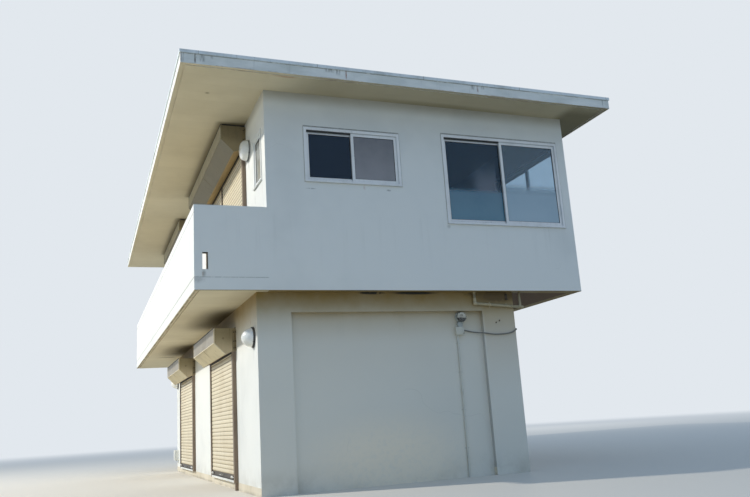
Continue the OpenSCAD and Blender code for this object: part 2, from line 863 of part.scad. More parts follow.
// Electric meter on the front panel: base, glass, and a terminal box hung below it by a round neck
panel_y = gy0 + recess;
meter_at = [end_x1 - meter_in, panel_y, ground_h - beam_h - meter_gap - meter_r];
meter_base_t = 42;
meter_glass_t = 62;
meter_side_t = 38;
meter_rim = 10;
neck_r = 50;
neck_t = 52;
neck_at = [-25, -120];
terminal_x = [meter_at[0] - 43 - terminal_w / 2, meter_at[0] - 43 + terminal_w / 2];
terminal_z = [meter_at[2] - 161 - terminal_h, meter_at[2] - 161];
lid_t = 12;
lid_edge = 5;

module electric_meter() {
  color("gray") placed() {
    translate(meter_at) rotate([90, 0, 0]) rotate_extrude() polygon([
      [0, 0], [meter_r, 0], [meter_r, meter_base_t], [meter_r - meter_rim, meter_base_t],
      [meter_r - meter_rim, meter_base_t + meter_side_t],
      [meter_r - 2 * meter_rim, meter_base_t + meter_glass_t], [0, meter_base_t + meter_glass_t]
    ]);
    translate(meter_at + [neck_at[0], 0, neck_at[1]]) rotate([90, 0, 0]) cylinder(r = neck_r, h = neck_t);
    block([terminal_x[0] + lid_edge, terminal_x[1] - lid_edge], [panel_y - terminal_d, panel_y],
      [terminal_z[0] + lid_edge, terminal_z[1] - lid_edge]);
    block(terminal_x, [panel_y - terminal_d, panel_y - terminal_d + lid_t], terminal_z);
  }
}

conduit_d = 28;
conduit_in = 41;

module meter_conduit() {
  color("gray") placed() translate([terminal_x[0] + conduit_in, panel_y - conduit_d / 2 - 1, 0])
    cylinder(d = conduit_d, h = terminal_z[0] + lid_edge);
}

// Points of the cable: out of the terminal box, across the column and round its corner into the side wall
cable_y = gy0 - cable_d / 2 - 8;
cable_z = terminal_z[0] + 77;
cable_side = gx1 + cable_d / 2 + 4;
cable_points = [
  [terminal_x[1] - 20, panel_y - 32, cable_z], [terminal_x[1] + 68, panel_y - 26, cable_z - 12],
  [end_x1 - 193, panel_y - 20, cable_z - 29], [end_x1 - 100, panel_y - 40, cable_z - 45],
  [end_x1 - 15, cable_y + 8, cable_z - 58], [end_x1 + 165, cable_y, cable_z - 82],
  [end_x1 + 330, cable_y, cable_z - 82], [gx1 - 88, cable_y, cable_z - 56], [gx1 - 20, cable_y - 2, cable_z - 24],
  [cable_side - 2, cable_y + 10, cable_z - 4], [cable_side, gy0 + 40, cable_z + 12],
  [cable_side - 4, gy0 + 90, cable_z + 24], [gx1 - 10, gy0 + 130, cable_z + 30]
];

function cable_dir(i) =
  let (a = cable_points[max(i - 1, 0)], b = cable_points[min(i + 1, len(cable_points) - 1)])
  (b - a) / norm(b - a);

module meter_cable() {
  sides = 8;
  rings = len(cable_points);
  points = [
    for (i = [0:rings - 1])
      let (d = cable_dir(i), up = [0, 0, 1] - d * d[2], u = up / norm(up), v = cross(d, u))
      for (k = [0:sides - 1])
        cable_points[i] + cable_d / 2 * (cos(360 * k / sides) * u + sin(360 * k / sides) * v)
  ];
  color("black") placed() polyhedron(points, concat(
    [[for (k = [0:sides - 1]) k]],
    [for (i = [0:rings - 2], k = [0:sides - 1])
      [i * sides + (k + 1) % sides, i * sides + k, (i + 1) * sides + k, (i + 1) * sides + (k + 1) % sides]],
    [[for (k = [sides - 1:-1:0]) (rings - 1) * sides + k]]));
}

// Drain pipe under the upper floor: a drop from the slab, then a long run with a fall past the side
drain_y = gy0 - drain_d / 2 - 4;
drain_corner = [end_x1 - drain_in, drain_y, ground_h - drain_drop];
drain_end = [gx1 + drain_past, drain_y, ground_h - drain_drop - drain_fall];
drain_run = drain_end - drain_corner;
drain_dir = drain_run / norm(drain_run);
socket_rim = 4;
socket_l = 45;
pipe_wall = 5;
stub_back = 55;
clip_w = 22;

module rod(a, b, d) {
  v = b - a;
  translate(a) rotate([0, acos(v[2] / norm(v)), atan2(v[1], v[0])]) cylinder(d = d, h = norm(v));
}

module drain_pipe() {
  top = [drain_corner[0], drain_y, ground_h];
  stub_x = drain_end[0] - stub_back;
  color("beige") placed() difference() {
    union() {
      rod(top, drain_corner, drain_d);
      rod(drain_corner + [0, 0, socket_l], drain_corner, drain_d + 2 * socket_rim);
      translate(drain_corner) sphere(d = drain_d + 3 * socket_rim);
      rod(drain_corner, drain_corner + socket_l * drain_dir, drain_d + 2 * socket_rim);
      rod(drain_corner, drain_end, drain_d);
      rod([stub_x, drain_y, ground_h], [stub_x, drain_y, drain_end[2]], drain_d - 2 * socket_rim);
      for (share = [0.3, 0.75]) drain_clip(drain_corner + share * drain_run);
    }
    rod(drain_end - stub_back / 2 * drain_dir, drain_end + drain_dir, drain_d - 2 * pipe_wall);
  }
}

// Clip that holds the run against the face of the building
module drain_clip(p) {
  rod(p - clip_w / 2 * drain_dir, p + clip_w / 2 * drain_dir, drain_d + socket_rim);
  block([p[0] - clip_w / 2, p[0] + clip_w / 2], [drain_y, gy0], [p[2] - clip_w / 2, p[2] + clip_w / 2]);
}

module downpipe() {
  x = gx1 + downpipe_gap + downpipe_d / 2;
  y = gy0 + column_d / 2;
  color("dimgray") placed() {
    translate([x, y, 0]) cylinder(d = downpipe_d, h = ground_h);
    for (z = [ground_h * 0.2, ground_h * 0.55, ground_h * 0.9]) {
      translate([x, y, z]) cylinder(d = downpipe_d + 2 * socket_rim, h = clip_w);
      block([gx1, x], [y - clip_w / 2, y + clip_w / 2], [z, z + clip_w]);
    }
  }
}

// Outlet box with a lid that laps over its sides
module outlet_box() {
  y = [gy1 - outlet_y - outlet_w, gy1 - outlet_y];
  z = [outlet_up, outlet_up + outlet_h];
  color("white") placed() {
    block([gx0 - outlet_d + lid_t, gx0], [y[0] + lid_edge, y[1] - lid_edge], [z[0] + lid_edge, z[1] - lid_edge]);
    block([gx0 - outlet_d, gx0 - outlet_d + 2 * lid_t], y, z);
  }
}

ground_slab();
ground_columns();
ground_beams();
end_panels();
lower_left_piers();
lower_left_header();
lower_right_wall();
balcony_slab();
upper_floor();
balcony_parapet();
balcony_front_end();
balcony_back_end();
upper_front_wall();
upper_left_piers();
upper_left_header();
upper_right_wall();
upper_back_wall();
roof_slab();
roof_capping();
ground_shutters();
ground_shutter_boxes();
ground_shutter_guides();
balcony_shutters();
balcony_shutter_boxes();
balcony_shutter_guides();
shutter_bottom_bars();
shutter_barrels();
door_sills();
front_window_frames();
front_window_sashes();
front_window_glass();
side_window_frame();
side_window_glass();
rear_window_frames();
rear_window_sashes();
rear_window_glass();
lamp_bases();
lamp_domes();
electric_meter();
meter_conduit();
meter_cable();
drain_pipe();
downpipe();
outlet_box();
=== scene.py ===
# Lifeguard tower in painted concrete: looks and small fittings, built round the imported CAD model.
# Lengths are in metres. Places are counted as in the CAD source: x from the balcony's outer face,
# y from the front wall and z from the ground. origin takes them into the frame.
# Colours are screen colours, 0 to 255. A colour that stays within 0 to 1 is a linear one.
import json
import math
import bmesh
import bpy
from mathutils import Matrix, Vector


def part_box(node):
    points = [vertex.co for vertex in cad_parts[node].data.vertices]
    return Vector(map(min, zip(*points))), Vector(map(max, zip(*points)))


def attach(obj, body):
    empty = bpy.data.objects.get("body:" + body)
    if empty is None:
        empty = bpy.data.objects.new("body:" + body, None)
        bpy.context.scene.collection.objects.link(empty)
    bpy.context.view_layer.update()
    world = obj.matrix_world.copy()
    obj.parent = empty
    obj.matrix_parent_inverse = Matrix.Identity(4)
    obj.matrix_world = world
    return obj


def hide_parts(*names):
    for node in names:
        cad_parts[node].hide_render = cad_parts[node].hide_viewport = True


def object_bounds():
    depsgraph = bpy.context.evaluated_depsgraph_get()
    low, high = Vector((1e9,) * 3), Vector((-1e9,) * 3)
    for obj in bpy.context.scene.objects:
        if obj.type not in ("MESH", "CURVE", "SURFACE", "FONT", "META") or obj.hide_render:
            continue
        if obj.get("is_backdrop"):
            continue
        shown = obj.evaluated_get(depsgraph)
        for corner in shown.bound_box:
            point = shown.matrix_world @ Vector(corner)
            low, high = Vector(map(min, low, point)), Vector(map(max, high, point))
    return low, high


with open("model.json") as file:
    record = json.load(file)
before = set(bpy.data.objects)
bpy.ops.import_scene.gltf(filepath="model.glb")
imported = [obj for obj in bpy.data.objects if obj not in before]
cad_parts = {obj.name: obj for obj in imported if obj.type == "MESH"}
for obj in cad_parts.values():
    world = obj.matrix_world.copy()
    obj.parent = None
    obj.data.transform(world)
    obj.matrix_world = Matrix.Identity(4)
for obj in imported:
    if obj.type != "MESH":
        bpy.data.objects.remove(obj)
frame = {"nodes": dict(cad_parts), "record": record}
cadLow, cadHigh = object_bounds()
nodes = frame["nodes"]
origin = Vector((3.54, 6.425, 0))
print("frame loaded,", len(nodes), "nodes")

camera = {
    "place": (-4.987, -17.280, 0.940),
    "turn": -21.564,  # degrees about Z, from a look along +Y
    "tilt": 13.054,  # upwards
    "roll": -3.713,
    "lens": 35.917,
}


def turn(degrees, axis):
    return Matrix.Rotation(math.radians(degrees), 4, axis)


def linked(name, data):
    made = bpy.data.objects.new(name, data)
    bpy.context.scene.collection.objects.link(made)
    return made


def makeCamera(c):
    data = bpy.data.cameras.new("camera")
    data.lens = c["lens"]
    data.sensor_width = 36
    data.clip_end = 400
    made = linked("camera", data)
    look = turn(c["turn"], "Z") @ turn(90 + c["tilt"], "X") @ turn(c["roll"], "Z")
    made.matrix_world = Matrix.Translation(c["place"]) @ look
    bpy.context.scene.camera = made


makeCamera(camera)
bpy.context.scene.view_settings.view_transform = "Standard"
print("camera placed")


def linear(colour):
    if max(colour) <= 1:
        return tuple(colour)
    return tuple(((c / 255 + 0.055) / 1.055) ** 2.4 if c > 10 else c / 3295 for c in colour)


class Wire:  # the output of a shader node; sums on it add Math nodes
    def __init__(self, tree, socket):
        self.tree = tree
        self.socket = socket

    def math(self, operation, *terms):
        return self.tree.node("Math", {"operation": operation}, dict(enumerate(terms)))

    def __add__(self, other):
        return self.math("ADD", self, other)

    def __sub__(self, other):
        return self.math("SUBTRACT", self, other)

    def __rsub__(self, other):
        return self.math("SUBTRACT", other, self)

    def __mul__(self, other):
        return self.math("MULTIPLY", self, other)

    def __truediv__(self, other):
        return self.math("DIVIDE", self, other)

    def most(self, other):
        return self.math("MAXIMUM", self, other)

    def size(self):
        return self.math("ABSOLUTE", self)

    def cycle(self, length):  # runs from 0 to 1 in each length
        return self.math("FRACT", self / length)

    def count(self, length):  # the number of the length that a point is in
        return self.math("FLOOR", self / length)

    def fade(self, start, end):  # 0 at start, 1 at end, and eased between
        settings = {"interpolation_type": "SMOOTHSTEP"}
        return self.tree.node("MapRange", settings, {0: self, 1: start, 2: end})

    def within(self, start, end, soft=0.01):  # 1 between two values, fading out outside them
        return self.fade(start - soft, start) * self.fade(end + soft, end)

    def near(self, place, width):  # 1 at a value and 0 from the width on
        return (self - place).size().fade(width, width * 0.4)


class Tree:  # the shader nodes of a material or of the world
    def __init__(self, owner):
        owner.use_nodes = True
        self.tree = owner.node_tree
        self.tree.nodes.clear()

    def node(self, kind, settings=None, inputs=None, out=0):
        made = self.tree.nodes.new("ShaderNode" + kind)
        for name, value in (settings or {}).items():
            setattr(made, name, value)
        for name, value in (inputs or {}).items():
            socket = made.inputs[name]
            if isinstance(value, Wire):
                self.tree.links.new(value.socket, socket)
            elif socket.type == "RGBA":
                socket.default_value = (*linear(value), 1)
            else:
                socket.default_value = value
        return Wire(self, made.outputs[out])

    def mix(self, first, second, share):
        return self.node("Mix", {"data_type": "RGBA"}, {0: share, 6: first, 7: second}, 2)

    def seen(self):  # 1 for rays from the eye, also by a mirror or through glass
        path = self.node("LightPath").socket.node
        rays = [path.outputs[f"Is {kind} Ray"] for kind in ("Camera", "Glossy", "Transmission")]
        first, second, third = (Wire(self, ray) for ray in rays)
        return first.most(second).most(third)

    def end(self, shader, kind="Material"):
        made = self.tree.nodes.new("ShaderNodeOutput" + kind)
        self.tree.links.new(shader.socket, made.inputs["Surface"])


class Finish(Tree):  # a material, with the patterns that the finishes share
    def __init__(self, name):
        self.material = bpy.data.materials.new(name)
        super().__init__(self.material)
        point = self.node("TexCoord", out="Object")
        self.point = self.node("Mapping", {}, {"Vector": point, "Location": tuple(origin)})
        self.x, self.y, self.z = self.split(self.point)
        self.facing = self.split(self.node("NewGeometry", out="Normal"))

    def split(self, vector):
        parts = self.node("SeparateXYZ", {}, {0: vector}).socket.node
        return [Wire(self, out) for out in parts.outputs]

    def vector(self, operation, first, second, out=0):
        return self.node("VectorMath", {"operation": operation}, {0: first, 1: second}, out)

    def noise(self, scale, detail=3.0, roughness=0.5, stretch=None):
        point = self.vector("MULTIPLY", self.point, stretch) if stretch else self.point
        inputs = {"Vector": point, "Scale": scale, "Detail": detail, "Roughness": roughness}
        return self.node("TexNoise", {}, inputs)

    def chance(self, number):  # a random value for each number
        return self.node("TexWhiteNoise", {"noise_dimensions": "1D"}, {"W": number})

    def cracks(self, scale, width):  # thin wandering lines
        warp = self.node("TexNoise", {}, {"Vector": self.point, "Scale": scale * 2.5}, 1)
        point = self.vector("ADD", self.point, self.vector("MULTIPLY", warp, (0.5 / scale,) * 3))
        settings = {"feature": "DISTANCE_TO_EDGE"}
        return self.node("TexVoronoi", settings, {"Vector": point, "Scale": scale}).fade(width, 0)

    def over(self, colour, tones, **shares):  # lays colours out of a dictionary over the first one
        for name, share in shares.items():
            colour = self.mix(colour, tones[name], share)
        return colour

    def mark(self, centre, size):  # 1 in the middle of an egg shape and 0 outside it
        near = self.vector("DIVIDE", self.vector("SUBTRACT", self.point, centre), size)
        return self.vector("LENGTH", near, (0, 0, 0), 1).fade(1, 0.2)

    def coat(self, colour, roughness, height=None, **others):
        inputs = {"Base Color": colour, "Roughness": roughness, **others}
        if height:
            inputs["Normal"] = self.node("Bump", {}, {"Height": height, "Distance": 1.0})
        self.end(self.node("BsdfPrincipled", {}, inputs))
        return self.material


stage = {  # floor, backdrop and lamps
    "backdrop": (226, 232, 238), "fill": (180, 211, 250), "fillStrength": 0.667,
    "floor": (218, 212, 200), "bounce": (212, 202, 178),  # as it shows, and as it lights the building
    "floorSize": 320, "melt": (14, 60),  # distances between which the floor melts into the backdrop
    "lamps": {  # place, size, power, colour
        "key": ((-23.5, 1.5, 17.2), 0.75, 6200, (1.0, 0.965, 0.90)),
        "back": ((22, 26, 16), 5, 1800, (1, 1, 1)),
    },
}


def makeWorld(s):
    world = bpy.data.worlds.new("studio")
    t = Tree(world)
    fill = t.node("Background", {}, {"Color": s["fill"], "Strength": s["fillStrength"]})
    backdrop = t.node("Background", {}, {"Color": s["backdrop"]})
    t.end(t.node("MixShader", {}, {0: t.seen(), 1: fill, 2: backdrop}), "World")
    bpy.context.scene.world = world


def makeLamp(name, place, size, power, colour):
    data = bpy.data.lights.new(name, "AREA")
    data.shape = "DISK"
    data.size = size
    data.energy = power
    data.color = colour
    made = linked(name, data)
    made.visible_camera = False
    made.visible_transmission = False
    aim = Vector((0, 0, 3)) - Vector(place)
    made.matrix_world = Matrix.Translation(place) @ aim.to_track_quat("-Z", "Y").to_matrix().to_4x4()


def makeFloor(s):
    made = bmesh.new()
    bmesh.ops.create_grid(made, x_segments=2, y_segments=2, size=s["floorSize"] / 2)
    data = bpy.data.meshes.new("floor")
    made.to_mesh(data)
    made.free()
    material = bpy.data.materials.new("floor")
    t = Tree(material)
    paint = t.node("BsdfDiffuse", {}, {"Color": t.mix(s["bounce"], s["floor"], t.seen())})
    far = t.node("Emission", {}, {"Color": s["backdrop"]})
    point = t.node("TexCoord", out="Object")
    distance = t.node("VectorMath", {"operation": "LENGTH"}, {0: point}, "Value")
    t.end(t.node("MixShader", {}, {0: t.seen() * distance.fade(*s["melt"]), 1: paint, 2: far}))
    data.materials.append(material)
    linked("floor", data)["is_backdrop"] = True


makeWorld(stage)
for name, values in stage["lamps"].items():
    makeLamp(name, *values)
makeFloor(stage)
print("stage lit")


wall = {
    "white": (236, 237, 232), "worn": (220, 222, 218), "dusty": (222, 220, 208),
    "brown": (198, 184, 160), "cream": (250, 238, 214), "streak": (120, 122, 112),
    "grime": (118, 110, 82), "mould": (134, 109, 50), "soot": (104, 86, 40),
    "olive": (162, 140, 86), "umber": (92, 74, 36), "dark": (62, 58, 46),
    "soil": (40, 38, 28), "rust": (168, 104, 62), "crack": (110, 112, 108),
    # room: the dark tone of the room's inner faces, painted shade
    "room": (50, 54, 60), "inside": [(1.19, 6.61), (0.09, 12.76), (3.06, 6.30)],  # of the upper storey
    "roughness": 0.57,
    "ledges": [(1.735, 3.395, 5.635), (4.195, 6.530, 5.705)],  # front windows: from, to, head
    "splash": 0.45,  # height of the splashed foot of a wall
    "storeys": [  # dirt and painted shade, darker below each ceiling: from, to, ceiling, tone, share
        (2.10, 2.80, 2.96, "olive", 0.60),
        (2.50, 2.92, 2.96, "mould", 0.92),
        (5.96, 6.21, 6.21, "soot", 0.44),
    ],
    "marks": [  # centre, size, tone, share
        ((0.14, 0, 3.215), (0.045, 0.05, 0.075), "streak", 0.55),  # under the slot
        ((0.125, 0, 3.20), (0.010, 0.05, 0.06), "rust", 0.5),
        ((0.05, 0, 3.12), (0.14, 0.05, 0.07), "streak", 0.30),
        ((0.45, 0, 2.962), (0.75, 0.05, 0.010), "mould", 0.7),
        ((1.82, 0, 4.60), (0.11, 0.05, 0.012), "dark", 0.5),  # under the small window
        ((3.15, 0, 4.635), (0.060, 0.05, 0.022), "dark", 0.55),
        ((2.73, 0, 4.66), (0.030, 0.05, 0.060), "rust", 0.3),
        ((4.20, 0, 4.06), (0.05, 0.05, 0.05), "streak", 0.3),
        ((0.93, 0.60, 2.57), (0.05, 0.030, 0.06), "rust", 0.4),  # at the lamps
        ((0.93, 0.42, 2.06), (0.05, 0.050, 0.16), "streak", 0.12),
        ((1.10, 1.218, 5.36), (0.05, 0.060, 0.12), "streak", 0.4),
        ((1.10, 0.26, 4.62), (0.05, 0.020, 0.14), "rust", 0.3),  # at the side window's foot
        ((1.10, 0.80, 4.62), (0.05, 0.024, 0.12), "streak", 0.5),
        ((0.93, 3.1, 2.90), (0.06, 1.75, 0.42), "umber", 0.85),  # painted shadow above the low housings
        ((0.93, 8.2, 2.90), (0.06, 1.75, 0.42), "umber", 0.85),
        ((0.11, 0, 4.262), (0.50, 0.2, 0.014), "dark", 0.45),  # along the parapet's top
        ((2.6, 0, 2.965), (0.9, 0.05, 0.010), "dark", 0.7),  # along the slab's lower edge
        ((4.1, 0, 2.966), (0.6, 0.05, 0.010), "dark", 0.6),
        ((2.78, 0.13, 2.948), (0.30, 0.05, 0.030), "soil", 1.6),  # on the beam's top
        ((3.52, 0.13, 2.948), (0.52, 0.05, 0.034), "soil", 1.6),
        ((4.60, 0.13, 2.93), (0.25, 0.05, 0.05), "soil", 0.5),
        ((3.0, 0.25, 0.30), (1.9, 0.30, 0.95), "cream", 0.8),  # the end panel's foot: painted light from the ground
        ((5.05, 0.13, 2.90), (0.60, 0.1, 0.18), "umber", 1.2),  # painted shade at the far column's head
    ],
}
joints = {"balcony": 3.158, "parapet": 4.135, "width": 0.007}  # the pours' lines, seen in the paint
soffit = {
    "beige": (216, 207, 182), "shade": (200, 190, 164), "mould": (92, 84, 50),
    "umber": (98, 82, 42), "earth": (94, 62, 10), "moss": (34, 34, 24),
    "slate": (60, 68, 72), "rust": (168, 104, 62),
    "board": 0.30,  # width of the shuttering boards
    "roughness": 0.7,
    "housings": [(1.46, 5.83), (7.68, 11.62)],  # where those under the roof start and end
    "marks": [  # centre, size, tone, share
        # painted shade beside the housings, under the roof and under the balcony
        ((1.25, 1.55, 6.21), (0.75, 0.60, 0.1), "mould", 0.45),
        ((0.95, 3.6, 6.21), (0.50, 2.6, 0.1), "mould", 0.40),
        ((0.95, 9.6, 6.21), (0.50, 2.4, 0.1), "mould", 0.40),
        ((0.95, 2.85, 2.96), (0.46, 1.70, 0.1), "umber", 1.0),
        ((0.62, 3.1, 2.96), (0.42, 1.75, 0.1), "umber", 0.50),
        ((0.95, 7.95, 2.96), (0.46, 1.70, 0.1), "umber", 1.0),
        ((0.62, 8.2, 2.96), (0.42, 1.75, 0.1), "umber", 0.50),
        ((2.55, 0.04, 2.96), (0.32, 0.10, 0.1), "moss", 1.6),
        ((3.45, 0.04, 2.96), (0.60, 0.10, 0.1), "moss", 1.6),
        ((0.57, 9.78, 2.96), (0.30, 0.085, 0.1), "umber", 1.4),
        # painted shade under the far overhangs
        ((6.05, 2.2, 2.96), (1.60, 6.0, 0.1), "earth", 1.8),
        ((7.40, 2.2, 6.21), (0.60, 1.9, 0.1), "slate", 1.8),
        ((1.33, -0.53, 6.21), (0.26, 0.05, 0.1), "rust", 0.55),
        ((0.27, 0.31, 6.21), (0.05, 0.05, 0.1), "mould", 0.6),
        # painted shade along the roof's front overhang
        ((4.3, -0.05, 6.21), (2.3, 0.16, 0.1), "mould", 0.34),
    ],
}
cement = {
    "light": (172, 170, 160), "dark": (128, 126, 116),
    "plinth": (224, 215, 194), "plinthDark": (190, 178, 152), "roughness": 0.80,
}
fascia = {
    "paint": (237, 238, 233), "worn": (214, 217, 211), "stain": (66, 66, 60), "rust": (140, 92, 70),
    "roughness": 0.55,
    "runs": [  # on the front edge: x, half width, lower end, tone, share
        (-0.24, 0.05, 6.21, "stain", 0.45), (-0.04, 0.022, 6.21, "stain", 0.9),
        (0.06, 0.05, 6.24, "stain", 0.5), (0.20, 0.03, 6.30, "stain", 0.4),
        (2.02, 0.10, 6.30, "stain", 0.55), (2.16, 0.05, 6.27, "stain", 0.5),
        (2.29, 0.020, 6.21, "rust", 0.95), (4.55, 0.05, 6.27, "stain", 0.6),
        (4.64, 0.018, 6.24, "rust", 0.9), (4.74, 0.05, 6.30, "stain", 0.45),
        (7.20, 0.012, 6.21, "stain", 0.6),
    ],
}


def marked(f, colour, palette, patchy):  # adds a palette's marks; the large ones are less broken up
    broad = patchy * 0.3 + 0.7
    for centre, size, name, share in palette["marks"]:
        cover = (patchy if max(size[:2]) < 0.5 else broad) * share
        colour = f.mix(colour, palette[name], f.mark(centre, size) * cover)
    return colour


def wallPaint(f):  # colour, roughness and height of the white paint
    cloud = f.noise(0.45, 4, 0.6)
    ground = f.z.fade(2.97, 2.95)  # 1 below the balcony's slab
    ends = f.facing[0].size().fade(0.8, 0.6)
    # painted shade: the far column's narrow inner side is darker, and the column browner than the panel
    # beside it, more so towards the ceiling
    reveal = f.x.within(4.747, 4.753, 0.001) * f.y.within(0.133, 0.2085, 0.001) * ground
    east = f.x.fade(4.72, 4.80) + f.x.within(1.47, 4.74) * f.y.within(0.19, 0.3) * 0.35
    run = f.noise(1, 4, 0.65, (7, 7, 0.35)).fade(0.52, 0.78)
    under = f.z.fade(3.1, 3.9) * f.z.fade(4.26, 4.1) + f.z.fade(2.0, 2.9) * ground
    foot = f.z.fade(wall["splash"], 0.02) * f.noise(2.2, 5, 0.65).fade(0.35, 0.7)
    colour = f.over(
        wall["white"], wall,
        worn=cloud.fade(0.42, 0.75) * 0.8,
        # dust and painted shade: a warm grey on the front and back faces below the balcony
        dusty=ground * ends * 0.8,
        dark=reveal * 0.45,
        brown=ground * east * ends * f.z.fade(1.2, 2.8) * 0.8,
        streak=run * under * 0.10,
        grime=foot * 0.30,
    )
    patchy = f.noise(1.4, 4, 0.6).fade(0.2, 0.8) * 0.3 + 0.85
    # painted shade and dirt below each ceiling
    for start, end, ceiling, name, share in wall["storeys"]:
        band = f.z.fade(start, end) * f.z.fade(ceiling + 0.012, ceiling + 0.004)
        colour = f.mix(colour, wall[name], band * patchy * share)
    ragged = f.noise(13, 4, 0.7).fade(0.30, 0.55)
    colour = marked(f, colour, wall, ragged)
    outer = f.x.fade(0.02, 0.0)
    line = f.z.near(joints["balcony"], joints["width"]) * f.x.fade(1.12, 1.08)
    line = line + f.z.near(joints["parapet"], joints["width"]) * outer
    colour = f.over(colour, wall, streak=line * ragged * (outer * 0.35 + 0.6))
    for start, end, height in wall["ledges"]:  # a dark line on the wall just above a window frame
        ledge = f.z.near(height + 0.019, 0.014) * f.x.within(start, end, 0.01) * f.y.fade(0.02, 0.01)
        colour = f.over(colour, wall, dark=ledge * (ragged * 0.3 + 0.35))
    # painted shade inside the slot in the balcony's front end
    slot = f.x.within(0.118, 0.204, 0.002) * f.y.within(0.006, 0.104, 0.002)
    # a pale line along the slab's lower front edge: painted highlight
    edge = f.z.within(2.972, 2.985, 0.004) * f.y.fade(0.02, 0.0)
    split = f.cracks(0.55, 0.004) * f.noise(0.5, 2, 0.5).fade(0.56, 0.66)
    colour = f.over(
        colour, wall,
        dark=slot * f.z.within(3.272, 3.535, 0.002) * 0.85,
        white=edge * 0.5,
        crack=split * 0.12,
    )
    height = f.noise(110, 2, 0.6) * 0.0006 + f.noise(1.3, 3, 0.5) * 0.006 - split * 0.001 - line * 0.0008
    return colour, cloud * 0.12 + wall["roughness"], height


def soffitPaint(f):
    cloud = f.noise(0.6, 4, 0.6)
    bloom = f.noise(1.1, 5, 0.68)
    tint = f.chance(f.y.count(soffit["board"]))
    seam = (f.y.cycle(soffit["board"]) - 0.5).size().fade(0.485, 0.5)
    colour = f.over(soffit["beige"], soffit, shade=cloud.fade(0.35, 0.75))
    colour = f.over(colour, soffit, shade=tint * 0.35, mould=seam * 0.12)
    colour = f.over(colour, soffit, mould=bloom.fade(0.58, 0.85) * 0.15)
    colour = marked(f, colour, soffit, bloom.fade(0.1, 0.6) * 0.5 + 0.5)
    high = f.z.fade(6.0, 6.1)
    front = f.x.fade(1.1, 2.0) * f.y.fade(0.2, 0.0) * 0.33  # painted shade: darker along the front and far sides
    far = f.x.fade(6.45, 6.75) * (f.y.fade(-0.55, -0.2) * 0.25 + f.y.fade(0.0, 0.2) * 0.33 + 0.3)
    colour = f.over(colour, soffit, mould=(front + far) * high)
    # painted shade and dirt along the outer edges of the housings under the roof
    for start, end in soffit["housings"]:
        edge = f.x.fade(0.54, 0.67) * f.x.fade(1.12, 1.10) * f.y.within(start, end, 0.10) * high
        colour = f.over(colour, soffit, umber=edge * 0.6)
    low = f.z.fade(3.1, 3.0)
    drip = f.x.near(0.020, 0.022) * low * f.noise(2.1, 4, 0.7).fade(0.25, 0.6)
    groove = f.x.near(0.052, 0.010) * low * bloom.fade(0.45, 0.6)
    colour = f.over(colour, soffit, mould=drip * 0.75, rust=groove * 0.6)
    return colour, soffit["roughness"], f.noise(80, 2, 0.6) * 0.0006 - seam * 0.0012 + tint * 0.001


def cementTop(f):
    cloud = f.noise(0.8, 5, 0.65)
    grain = f.noise(160, 3, 0.7)
    colour = f.over(cement["light"], cement, dark=cloud.fade(0.3, 0.75))
    colour = f.over(colour, cement, dark=grain.fade(0.45, 0.8) * 0.3)
    return colour, cloud * 0.1 + cement["roughness"], grain * 0.001 + f.noise(2, 3) * 0.004


def plinthPaint(f):  # painted at the ends, bare along the sides
    cloud = f.noise(0.9, 5, 0.65)
    low = f.z.fade(0.06, 0.0) * cloud.fade(0.3, 0.6) * 0.5
    colour = f.over(cement["plinth"], cement, plinthDark=cloud.fade(0.4, 0.8), dark=low)
    paint, roughness, height = wallPaint(f)
    return f.mix(colour, paint, f.facing[0].size().fade(0.7, 0.4)), roughness, height


def insideRoom(f):  # 1 on the faces that look into the upper storey's room
    x, y, z = (place.within(*wall["inside"][i], 0.005) for i, place in enumerate((f.x, f.y, f.z)))
    return x * y * z


def fasciaPaint(f):
    cloud = f.noise(1.1, 4, 0.62, (1, 1, 3))
    run = f.noise(1, 4, 0.7, (9, 9, 0.8)).fade(0.56, 0.8)
    colour = f.over(fascia["paint"], fascia, worn=cloud.fade(0.4, 0.7), stain=run * 0.20)
    front = f.y.fade(-0.55, -0.6)
    ragged = f.noise(1, 3, 0.6, (55, 55, 6)).fade(0.36, 0.60)
    for place, width, foot, name, share in fascia["runs"]:
        reach = f.z.fade(foot - 0.01, foot + 0.05)
        colour = f.mix(colour, fascia[name], f.x.near(place, width) * reach * front * ragged * share)
    low = f.z.fade(6.232, 6.212) * f.noise(2.6, 4, 0.7).fade(0.42, 0.6)
    line = f.z.fade(6.352, 6.366) * f.noise(1, 4, 0.7, (4, 4, 1)).fade(0.35, 0.55)
    colour = f.over(colour, fascia, rust=low * 0.5, stain=line * 0.55)
    return colour, cloud * 0.1 + fascia["roughness"], f.noise(60, 3) * 0.0008 + f.noise(3, 3) * 0.004


def byFacing(name, sides, under, top):  # one finish for the sides, one below and one above
    f = Finish(name)
    colour, roughness, height = sides(f)
    for other, start in ((under, -0.4), (top, 0.4)):
        if other is not sides:
            more = other(f)
            share = f.facing[2].fade(start, start * 1.5)
            colour = f.mix(colour, more[0], share)
            roughness = roughness + (more[1] - roughness) * share
            height = height + (more[2] - height) * share
    # the room's inner faces take the dark room tone: painted shade
    return f.coat(f.mix(colour, wall["room"], insideRoom(f)), roughness, height)


def dress(material, *names):
    for name in names:
        for hold in nodes[name].material_slots:
            hold.material = material


dress(
    byFacing("wallPaint", wallPaint, wallPaint, wallPaint),
    "end_panels", "lower_left_piers", "lower_left_header", "lower_right_wall", "upper_front_wall",
    "upper_left_piers", "upper_left_header", "upper_right_wall", "upper_back_wall", "ground_columns",
    "ground_beams", "balcony_parapet", "balcony_front_end", "balcony_back_end", "door_sills",
)
dress(byFacing("floorPaint", wallPaint, soffitPaint, cementTop), "balcony_slab", "upper_floor")
dress(byFacing("roofPaint", fasciaPaint, soffitPaint, cementTop), "roof_slab")
dress(byFacing("plinthPaint", plinthPaint, cementTop, cementTop), "ground_slab")
print("concrete painted")

